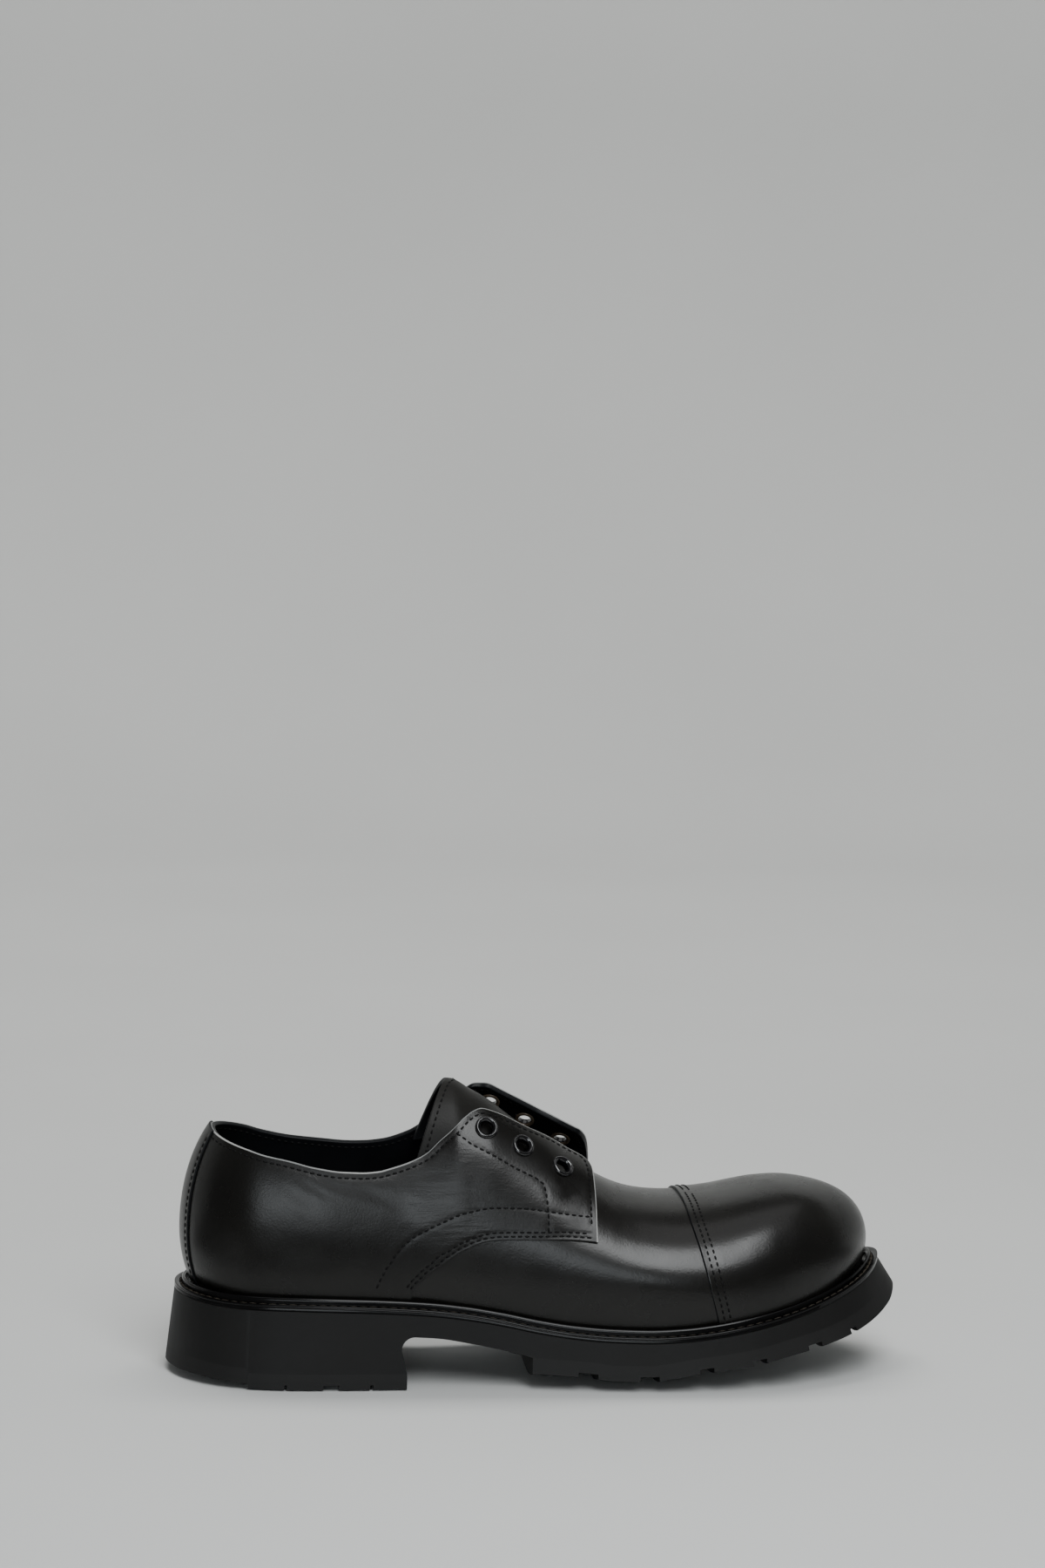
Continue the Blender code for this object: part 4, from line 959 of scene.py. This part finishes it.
def build_cap():
    """The toe cap with its two rows of stitches."""
    rise = levels(CAP_SECTION, 90)
    edge = curve(CAP_EDGE, rise)
    run = supported(151, EDGE_SUPPORT / CAP_RUN)
    w = edge[:, None] + (2 - 2 * edge)[:, None] * run[None, :]
    up = np.linspace(CAP_ROW[0], 1, 60)
    line = np.stack([curve(CAP_EDGE, up), up], -1)
    rows = []
    for distance in CAP_INSETS:
        for row_w, row_t in beside(line, -distance, CAP_STEP):
            shown = row_t <= CAP_ROW[1]
            rows.append((row_w[shown], row_t[shown]))
    looks = ("box", "ink", "lining", "ink")
    wall = VAMP_WALL + CAP_STEP - CLEARANCE
    seams = seam_lines(rows, CAP_STEP)
    cap = shell("toe_cap", w, rise[:, None], CAP_STEP, wall, looks, tip_joined=True, seams=seams)
    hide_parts("upper")
    stitched("cap_stitches", rows, CAP_STEP, "thread")


def top_edge(w):
    """The quarters' upper edge at w, which is below 0 on the inner side."""
    return np.where(w < 0, curve(TOPLINE[INNER], np.abs(w)), curve(TOPLINE[OUTER], np.abs(w)))


def quarter_edge():
    """The quarters' upper edge from the inner flap's lower corner round the heel to the outer flap's."""
    w, t = [], []
    for side in (INNER, OUTER):
        share = np.linspace(0, TOPLINE[side][-1][0], 260)
        down = np.linspace(curve(TOPLINE[side], share[-1]), curve(SEAM, share[-1]) + COLLAR_ROW_END, 24)[1:]
        side_share = np.concatenate([share, np.full(down.shape, share[-1])])
        side_t = np.concatenate([curve(TOPLINE[side], share), down])
        order = slice(None, 0, -1) if side == INNER else slice(None)
        w.append((side * -side_share)[order])
        t.append(side_t[order])
    return np.concatenate(w), np.concatenate(t)


def build_quarters(holes):
    """Both quarters as one piece, with all their seams."""
    inner_end, outer_end = TOPLINE[INNER][-1][0], TOPLINE[OUTER][-1][0]
    even = -inner_end + (inner_end + outer_end) * supported(500, EDGE_SUPPORT / QUARTER_RUN)
    steep = np.linspace(*STEEP_SEAM, 12)
    w = np.unique(np.concatenate([even, steep, -steep]))
    top, bottom = top_edge(w), curve(SEAM, np.abs(w))
    t = bottom[:, None] + (top - bottom)[:, None] * supported(84, EDGE_SUPPORT / QUARTER_RISE)[None, :]
    even_w, even_t = spaced(*quarter_edge(), 700, QUARTER_STEP, True)
    rows = [inset(even_w, even_t, -COLLAR_INSET, QUARTER_STEP, True)]
    lower = np.linspace(*LOWER_ROWS, 160)
    line = np.stack([lower, curve(SEAM, lower)], -1)
    for distance in LOWER_INSETS:
        beside_it = beside(line, distance, QUARTER_STEP, True)
        rows += [(evened(row_w), evened(row_t)) for row_w, row_t in beside_it]
    rows += both_sides(FACING_LINE)
    rows += both_sides(COUNTER_LINE)
    creases = []
    for s0, t0, s1, t1, half_width, depth in CREASES:
        bow = np.linspace(0, 1, 60)
        dip = CREASE_DIP * np.sin(math.pi * bow)
        path = np.stack([s0 + (s1 - s0) * bow, t0 + (t1 - t0) * bow - dip], -1)
        for path_w, path_t in both_sides(path):
            creases.append((surface(path_w, path_t, QUARTER_STEP, True)[0], half_width, depth))
    # The second look paints a light grey highlight along the quarters' collar and flap edges.
    looks = ("quarter", "edge", "lining", "ink")
    details = {"seams": seam_lines(rows, QUARTER_STEP, True), "creases": creases, "holes": holes}
    quarters = shell(
        "quarters", w[:, None], t, QUARTER_STEP, QUARTER_WALL, looks, True, dark_rim=len(w), **details
    )
    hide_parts("upper")
    stitched("quarter_stitches", rows, QUARTER_STEP, "thread", True)
    places, ahead, out = laid(*rows[0], QUARTER_STEP - QUARTER_WALL, True)
    add_stitches("lining_stitches", [(places, ahead, -out)], "thread")


def build_backstay():
    """The strip up the back of the heel."""
    half = BACKSTAY_SHOWN / 2 / FOOT_LENGTH
    w = np.linspace(-1, 1, 41) * half
    t = top_edge(w)[:, None] * supported(110, EDGE_SUPPORT / BACKSTAY_RISE)[None, :]
    lift = QUARTER_STEP + BACKSTAY_STEP
    up = np.linspace(BACKSTAY_ROW_GAP, 1, 50)
    row_w = half - BACKSTAY_INSET / FOOT_LENGTH
    row_t = up * (curve(TOPLINE[OUTER], row_w) - BACKSTAY_ROW_GAP)
    rows = [(np.full(up.shape, way * row_w), row_t) for way in (-1, 1)]
    looks = ("quarter", "ink", "ink", "ink")
    strip = shell("backstay", w[:, None], t, lift, BACKSTAY_WALL, looks, seams=seam_lines(rows, lift))
    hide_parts("upper")
    stitched("backstay_stitches", rows, lift, "thread")


def build_tongue():
    """The tongue with a row of stitches inside its edge."""
    lengthwise = supported(90, EDGE_SUPPORT / TONGUE_RUN)
    across = 2 * supported(61, EDGE_SUPPORT / TONGUE_BREADTH) - 1
    a, b = np.meshgrid(lengthwise, across, indexing="ij")

    def placed(a, b):
        drops = [far * np.abs(b) ** bend for far, bend in (TONGUE_CORNERS[OUTER], TONGUE_CORNERS[INNER])]
        drop = np.where(b < 0, *drops)
        tip = TONGUE_TIP - drop
        share = TONGUE_ROOT + (tip - TONGUE_ROOT) * a
        edge = TONGUE_ROOT_EDGE + (TONGUE_EDGE - TONGUE_ROOT_EDGE) * a
        t = 1 - np.abs(b) * (1 - edge)
        tucked = -VAMP_WALL - 1.5 * CLEARANCE
        raised = TONGUE_RISE * curve(TONGUE_LIFT, share)
        lift = np.where(raised > tucked, raised + (tucked - raised) * b * b, raised)
        return np.where(b <= 0, share, 2 - share), t, lift

    w, t, lift = placed(a, b)
    tongue = shell("tongue_leather", w, t, lift, TONGUE_WALL, ("tongue", "ink", "lining", "ink"))
    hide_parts("tongue")
    start, end, tip, rim = TONGUE_ROW
    run = np.linspace(0, 1, 400)
    rim_a = np.concatenate([start + (end - start) * run, np.full(800, tip), end - (end - start) * run])
    rim_b = np.concatenate([np.full(400, -rim), np.linspace(-rim, rim, 800), np.full(400, rim)])
    points, normals = surface(*placed(rim_a, rim_b))
    stitches = add_stitches("tongue_stitches", [strung(points, normals, STITCH_PITCH)], "thread")
    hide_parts("tongue")


def build_insole():
    """The sock over the insole, from heel to toe."""
    wall = FOOT_MARGIN * curve(MARGIN, along(EDGE_LOOP[:, 0])) + VAMP_WALL + 3 * CLEARANCE
    loop = EDGE_LOOP - EDGE_NORMALS * wall[:, None]
    ends = sides(loop)
    x = loop[:, 0].min() + np.ptp(loop[:, 0]) * (1 - np.cos(np.linspace(0, math.pi, 140))) / 2
    y = [np.interp(x, ends[side][:, 0], ends[side][:, 1]) for side in (OUTER, INNER)]
    y[0][[0, -1]] = y[1][[0, -1]] = (y[0][[0, -1]] + y[1][[0, -1]]) / 2
    mix = supported(25, SOCK_EDGE)
    plan_y = y[0][:, None] * (1 - mix) + y[1][:, None] * mix
    plan_x = np.repeat(x[:, None], len(mix), 1)
    height = np.repeat(ledge(x)[:, None], len(mix), 1)
    rim = np.where((mix == 0) | (mix == 1), INSOLE_THICKNESS * 0.75, INSOLE_THICKNESS)
    upper = np.stack([plan_x, plan_y, height + rim], -1)
    lower = np.stack([plan_x, plan_y, height], -1)
    sock = ladder("sock", upper, lower, "sock")
    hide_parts("insole")


def ladder(name, upper, lower, look, sharp=None):
    """A solid between two grids of points that run station by station from heel to toe."""
    stations, across = upper.shape[:2]
    ring = 2 * across
    points = np.concatenate([upper, lower[:, ::-1]], 1).reshape(-1, 3)
    index = np.arange(len(points)).reshape(stations, ring)
    faces = list(banded(index))
    for row in (index[0], index[-1]):
        faces += [(row[j], row[j + 1], row[ring - 2 - j], row[ring - 1 - j]) for j in range(across - 1)]
    return add_mesh(name, points, faces, (look,), weld=WELD, sharp=sharp)


def build_welt():
    """The welt: a rounded edge, a ledge, a groove with its thread, a bead and a seat under the upper."""
    bead = LEDGE_BREADTH + 0.32 * BEAD_WIDTH
    arris = 0.16 * WELT_THICKNESS
    profile = [(0, -WELT_THICKNESS), (0, -0.40 * WELT_THICKNESS), (0.25 * arris, -0.36 * WELT_THICKNESS)]
    profile += [(0.25 * arris, -0.32 * WELT_THICKNESS), (0, -0.27 * WELT_THICKNESS)]
    for angle in np.linspace(0, math.pi / 2, 6):
        profile.append((arris * (1 - math.cos(angle)), -arris * (1 - math.sin(angle))))
    profile += [
        (LEDGE_BREADTH - 0.6 * GROOVE_DEPTH, 0.0),
        (LEDGE_BREADTH - 0.25 * GROOVE_DEPTH, -0.15 * GROOVE_DEPTH),
        (LEDGE_BREADTH, -0.9 * GROOVE_DEPTH),
        (LEDGE_BREADTH + 0.2 * GROOVE_DEPTH, -GROOVE_DEPTH),
        (bead - 0.4 * GROOVE_DEPTH, -GROOVE_DEPTH),
        (bead - 0.1 * GROOVE_DEPTH, -0.8 * GROOVE_DEPTH),
    ]
    for angle in np.linspace(0, math.pi, 15):
        rise = 0.45 * BEAD_HEIGHT + 0.55 * BEAD_HEIGHT * math.sin(angle)
        profile.append((bead + 0.34 * BEAD_WIDTH * (1 - math.cos(angle)), rise))
    profile.append((bead + 0.68 * BEAD_WIDTH, -CLEARANCE))
    profile += [(WELT_BREADTH, -CLEARANCE), (WELT_BREADTH, -WELT_THICKNESS)]
    picks = np.arange(0, len(EDGE_LOOP), 4)
    inward, height = np.array(profile, float).T
    plan = EDGE_LOOP[picks][:, None] - EDGE_NORMALS[picks][:, None] * inward[None, :, None]
    points = np.concatenate([plan, (ledge(plan[..., 0]) + height[None])[..., None]], -1)
    index = np.arange(points.shape[0] * points.shape[1]).reshape(points.shape[:2])
    faces = banded(np.vstack([index, index[:1]]))
    welt = add_mesh("welt_rim", points.reshape(-1, 3), faces, ("welt",), sharp=50)
    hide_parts("welt")
    loop = EDGE_LOOP - EDGE_NORMALS * (LEDGE_BREADTH + bead) / 2
    track = np.concatenate([loop, (ledge(loop[:, 0]) - 0.6 * GROOVE_DEPTH)[:, None]], 1)
    track = np.vstack([track, track[:1]])
    ahead = unit(np.gradient(track, axis=0))
    up = unit(np.array([0, 0, 1.0]) - ahead * ahead[:, 2:3])
    runs = [strung(track, up, WELT_STITCH_PITCH)]
    sizes = WELT_STITCH_LENGTH, WELT_STITCH_RADIUS
    threads = add_stitches("welt_stitches", runs, "welt_thread", *sizes, sink=0.0)
    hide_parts("welt")


def edge_height(x):
    """The unit's lower edge above the floor, under the treads."""
    share = along(x)
    return CROWN_DEPTH * curve(CROWN, share) + HEEL_HEIGHT * curve(FLOOR_EDGE, share)


def wall_ends(x, side):
    """Where the unit's side wall starts under the welt, and where it would meet the lower edge."""
    run = sides(EDGE_LOOP)[side]
    facing = sides(EDGE_LOOP, EDGE_NORMALS)[side]
    y = np.interp(x, run[:, 0], run[:, 1])
    normal = unit(read_at(x, run[:, 0], facing))
    top = np.stack([x, y, ledge(x) - WELT_THICKNESS - CLEARANCE], -1)
    flare = WALL_FLARE * curve(FLARE, along(x))
    back = x - SPRING_REACH * SOLE_LENGTH
    slope = np.maximum((ledge(x) - ledge(back)) / (SPRING_REACH * SOLE_LENGTH), 0)
    foot_z = edge_height(x)
    foot_x = x + flare * normal[:, 0] + slope * (ledge(x) - foot_z)
    return top, np.stack([foot_x, y + flare * normal[:, 1], foot_z], -1)


ACROSS = np.concatenate([[-1, -0.992, -0.98], np.linspace(-0.94, 0.94, 33), [0.98, 0.992, 1]])


def spanned(ends):
    """Points straight across the unit between its two sides."""
    mix = ((ACROSS + 1) / 2)[None, :, None]
    return ends[0][:, None] * (1 - mix) + ends[1][:, None] * mix


def unit_level(x, height, low_x=None):
    """Points across the unit at each x, where its edge is at a height; low_x moves them lengthwise."""
    ends = []
    for side in (OUTER, INNER):
        top, foot = wall_ends(x, side)
        share = ((height - foot[:, 2]) / (top[:, 2] - foot[:, 2]))[:, None]
        ends.append(foot + (top - foot) * share)
    points = spanned(ends)
    if low_x is not None:
        moved = ~np.isnan(low_x)
        points[moved, :, 0] = low_x[moved, None]
    round_off = np.clip((np.abs(ACROSS) - FLAT_SHARE) / (1 - FLAT_SHARE), 0, 1) ** 2
    hang = CROWN_DEPTH * curve(CROWN, along(x))
    points[..., 2] -= hang[:, None] * (1 - round_off)[None, :]
    return points


def unit_top(x):
    """Points across the unit's upper face at each x."""
    return spanned([wall_ends(x, side)[0] for side in (OUTER, INNER)])


def heel_stations():
    """Where the heel is cut across: from its back to the breast, with both edges of its bevel."""
    u = 1 - np.cos(math.pi / 2 * np.linspace(0, 1, HEEL_STATIONS))
    back = EDGE_LOOP[:, 0].min()
    bevel = [share * SOLE_LENGTH - HEEL_REST for share in BEVEL_STEP]
    return np.unique(np.concatenate([back + (BREAST - back) * u, bevel]))


def fore_stations():
    """Where the forefoot is cut across, closer together towards the tip."""
    u = np.sin(math.pi / 2 * np.linspace(0, 1, FORE_STATIONS))
    return FORE_TREAD_START + (EDGE_LOOP[:, 0].max() - FORE_TREAD_START) * u


def build_unit():
    """The rubber unit: heel block, breast with its fillet, arched waist and forefoot."""
    fillet_x = BREAST - BREAST_LEAN + BREAST_FILLET
    fillet_z = WAIST_HEIGHT - BREAST_FILLET
    heel = [x for x in heel_stations() if x < BREAST - 1.1 * BREAST_LEAD]
    stations = [(x, math.nan, edge_height(x) + TREAD_DEPTH) for x in heel]
    stations.append((BREAST - BREAST_LEAD, BREAST, edge_height(BREAST) + TREAD_DEPTH))
    stations.append((BREAST - BREAST_LEAN / 2, BREAST - BREAST_LEAN, fillet_z))
    for share in np.linspace(0, 1, 10)[1:]:
        angle = share * math.pi / 2
        low_x = fillet_x - BREAST_FILLET * math.cos(angle)
        low_z = fillet_z + BREAST_FILLET * math.sin(angle)
        stations.append((BREAST + share * (fillet_x - BREAST), low_x, low_z))
    for share in np.linspace(0, 1, 26)[1:-1]:
        x = fillet_x + (FORE_TREAD_START - fillet_x) * share
        stations.append((x, math.nan, WAIST_HEIGHT * float(curve(WAIST, share))))
    for x in fore_stations():
        stations.append((x, math.nan, edge_height(x) + TREAD_DEPTH))
    x, low_x, low_z = np.array(stations, float).T
    made = ladder("sole_unit", unit_top(x), unit_level(x, low_z, low_x), "sole", 35)
    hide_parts("outsole")


def build_tread(name, node, stations, channels):
    """A tread under the unit, with channels across its lower face."""
    ramp = STEP_RUN / 4
    rises = {float(x): 0.0 for x in stations}
    for channel in channels:
        start, end = (share * SOLE_LENGTH - HEEL_REST for share in channel)
        rises = {x: rise for x, rise in rises.items() if min(abs(x - start), abs(x - end)) > 4 * ramp}
        rises.update({x: NOTCH_DEPTH for x in rises if start < x < end})
        rises.update({start - ramp: 0.0, start: NOTCH_DEPTH, end: NOTCH_DEPTH, end + ramp: 0.0})
    x = np.array(sorted(rises))
    rise = np.array([rises[value] for value in x])
    upper = unit_level(x, edge_height(x) + TREAD_DEPTH)
    lower = unit_level(x, edge_height(x) + rise)
    made = ladder(name, upper, lower, "tread", 35)
    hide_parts(node)


def eyelet_seat(side, share, t):
    """Middle of a flap's wall at an eyelet, and the way that the eyelet faces."""
    around_w = side_w(side, share) + 0.004 * np.array([0, 1, -1, 0, 0])
    around_t = t + 0.02 * np.array([0, 0, 0, 1, -1])
    spots, _ = surface(around_w, around_t, QUARTER_STEP - QUARTER_WALL / 2, True)
    facing = unit(np.cross(spots[1] - spots[2], spots[3] - spots[4]))
    return spots[0], facing if facing[2] > 0 else -facing


def build_eyelet(name, node, centre, facing):
    """A turned eyelet: enamelled ring and rolled lip outside, bronze flange inside."""
    half_wall = QUARTER_WALL / 2
    outside = half_wall + 1.2 * CLEARANCE
    inside = half_wall + 1.5 * CLEARANCE
    breadth = EYELET_FLANGE - EYELET_BORE
    profile = [(EYELET_FLANGE, outside - 1.2 * CLEARANCE)]
    profile += [(EYELET_FLANGE - a * breadth, outside + b * EYELET_LIP) for a, b in EYELET_FACE]
    profile += [
        (EYELET_BORE, outside - 0.70 * EYELET_LIP),
        (EYELET_BORE, -inside + 0.40 * EYELET_LIP),
        (EYELET_BORE + 0.10 * breadth, -inside - 0.20 * EYELET_LIP),
        (EYELET_TUBE + 0.10 * breadth, -inside - 0.45 * EYELET_LIP),
        (EYELET_FLANGE - 0.45 * breadth, -inside - 0.40 * EYELET_LIP),
        (EYELET_FLANGE - 0.30 * breadth, -inside - 0.10 * EYELET_LIP),
        (EYELET_FLANGE - 0.28 * breadth, -half_wall),
        (EYELET_TUBE, -half_wall),
        (EYELET_TUBE, outside - 1.2 * CLEARANCE),
    ]
    turn = np.linspace(0, 2 * math.pi, 48, endpoint=False)
    radius, height = np.array(profile, float).T
    across = unit(np.cross(facing, (1.0, 0.0, 0.0)))
    along_axis = np.cross(facing, across)
    spokes = np.cos(turn)[:, None] * across + np.sin(turn)[:, None] * along_axis
    points = centre + spokes[:, None] * radius[None, :, None] + height[None, :, None] * facing
    index = np.arange(len(turn) * len(profile)).reshape(len(turn), len(profile))
    faces = banded(np.vstack([index, index[:1]]))
    back = (height + np.roll(height, -1)) / 2 < -0.8 * half_wall
    slots = np.tile(back.astype(int), len(turn))
    made = add_mesh(name, points.reshape(-1, 3), faces, ("enamel", "bronze"), slots)
    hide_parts(node)


holes = []
for side, word in ((OUTER, "outer"), (INNER, "inner")):
    for number, (share, t) in enumerate(EYELETS[side], 1):
        centre, facing = eyelet_seat(side, share, t)
        holes.append((centre, facing))
        build_eyelet(f"ring_{word}_{number}", f"eyelet_{word}_{number}", centre, facing)

build_vamp()
build_cap()
build_quarters(holes)
build_backstay()
build_tongue()
build_insole()
build_welt()
build_unit()
build_tread("heel_lift", "heel_tread", heel_stations(), HEEL_CHANNELS)
build_tread("fore_lift", "forefoot_tread", fore_stations(), FORE_CHANNELS)
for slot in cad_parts["filler"].material_slots:
    slot.material = LOOKS["cork"]


# The room: a round floor that curves up into a wall.
ROOM_CENTRE = (0.10, 0.0)
ROOM_RADIUS = 2.4
ROOM_HEIGHT = 2.6
ROOM_BEND = 0.7
ROOM_SIDES = 96
FLOOR_RINGS = (0.0, 0.10, 0.16, 0.22, 0.30, 0.6, 1.1, ROOM_RADIUS - ROOM_BEND)
PAPER = ((0.50, 0.508, 0.504), (0.515, 0.523, 0.519))

# The leather mirrors only the floor close to the shoe and what lies behind it, as far as these reaches.
MIRRORED_ROUND = 0.19
MIRRORED_STRETCH = 0.55
MIRRORED_BEHIND = 0.12

ROOM_LIGHT = 0.15
LAMPS = (
    # name, place, aimed at, size across, size along, power, colour
    ("key", (0.25, -0.80, 0.96), (0.15, -0.03, 0.06), 0.48, 0.85, 12.5, (0.97, 0.99, 1.0)),
    ("front", (-0.22, -1.72, 0.32), (0.0, -0.03, 0.06), 0.76, 0.48, 6.0, (0.90, 0.96, 1.0)),
    ("top", (0.10, -0.10, 2.20), (0.10, 0.0, 0.0), 1.80, 1.80, 9.0, (1.0, 1.0, 1.0)),
    ("backdrop", (0.10, 0.90, 2.60), (0.10, 1.70, 0.30), 2.6, 0.9, 60.0, (1.0, 0.99, 0.97)),
)

# The camera: its place as seen from a point in the shoe, its turn and its lens.
CAMERA_AIM = (0.097, 0.0, 0.060)
CAMERA_AWAY = 1.60
CAMERA_BEARING = (math.radians(-6), math.radians(13))
CAMERA_TURN = (math.radians(-5.76922), math.radians(6.21368), math.radians(1.0))
CAMERA_SENSOR = 36.0
CAMERA_LENS = 85.34


def heading(yaw, pitch):
    """The way to a place that lies at these angles, from straight in front."""
    return Vector((math.sin(yaw) * math.cos(pitch), -math.cos(yaw) * math.cos(pitch), math.sin(pitch)))


def build_room():
    """The floor and wall, in two parts: only the first shows in reflections."""
    LOOKS["paper"], tree, shader = new_look("paper", {"Roughness": 0.9, "Specular IOR Level": 0.1})
    tree.links.new(shades(tree, noise(tree, 3.0), *PAPER), shader.inputs["Base Color"])
    profile = [(radius, 0.0) for radius in FLOOR_RINGS]
    for angle in np.linspace(0, math.pi / 2, 24)[1:]:
        out, up = ROOM_BEND * math.sin(angle), ROOM_BEND * (1 - math.cos(angle))
        profile.append((ROOM_RADIUS - ROOM_BEND + out, up))
    profile.append((ROOM_RADIUS, ROOM_HEIGHT))
    turns = np.linspace(0, 2 * math.pi, ROOM_SIDES, endpoint=False)
    x, y = ROOM_CENTRE
    points = np.array([(x + r * math.cos(a), y + r * math.sin(a), z) for r, z in profile for a in turns])
    faces = banded(np.arange(len(points)).reshape(len(profile), ROOM_SIDES))
    middles = points[faces].mean(1)
    around = np.hypot(MIRRORED_STRETCH * (middles[:, 0] - x), middles[:, 1] - y)
    mirrored = (around < MIRRORED_ROUND) | (middles[:, 1] > MIRRORED_BEHIND)
    for name, chosen in (("sweep", faces[mirrored]), ("sweep_front", faces[~mirrored])):
        used, numbers = np.unique(chosen, return_inverse=True)
        floor = new_object(name, points[used], numbers.reshape(-1, 4), ("paper",), weld=WELD)
        floor.visible_glossy = name == "sweep"


def build_lights():
    """Plain soft lamps and a faint even light. The lamp for the wall behind isn't mirrored."""
    world = bpy.data.worlds.new("room")
    world.use_nodes = True
    world.node_tree.nodes["Background"].inputs["Color"].default_value = (1, 1, 1, 1)
    world.node_tree.nodes["Background"].inputs["Strength"].default_value = ROOM_LIGHT
    bpy.context.scene.world = world
    for name, place, aim, across, along_it, power, colour in LAMPS:
        data = bpy.data.lights.new(name, "AREA")
        data.shape = "RECTANGLE"
        data.size, data.size_y = across, along_it
        data.energy = power
        data.color = colour
        lamp = bpy.data.objects.new(name, data)
        lamp.visible_glossy = name != "backdrop"
        lamp.location = place
        lamp.rotation_euler = (Vector(aim) - Vector(place)).to_track_quat("-Z", "Y").to_euler()
        bpy.context.scene.collection.objects.link(lamp)


def build_camera():
    """The camera at the photograph's viewing angle."""
    yaw, pitch, roll = CAMERA_TURN
    back = heading(yaw, pitch)
    right = Vector((math.cos(yaw), math.sin(yaw), 0))
    up = back.cross(right)
    rolled_right = right * math.cos(roll) + up * math.sin(roll)
    rolled_up = up * math.cos(roll) - right * math.sin(roll)
    data = bpy.data.cameras.new("camera")
    data.sensor_fit = "VERTICAL"
    data.sensor_height = CAMERA_SENSOR
    data.lens = CAMERA_LENS
    camera = bpy.data.objects.new("camera", data)
    turn = Matrix((rolled_right, rolled_up, back)).transposed()
    place = Vector(CAMERA_AIM) + CAMERA_AWAY * heading(*CAMERA_BEARING)
    camera.matrix_world = Matrix.Translation(place) @ turn.to_4x4()
    bpy.context.scene.collection.objects.link(camera)
    bpy.context.scene.camera = camera


build_room()
build_lights()
build_camera()
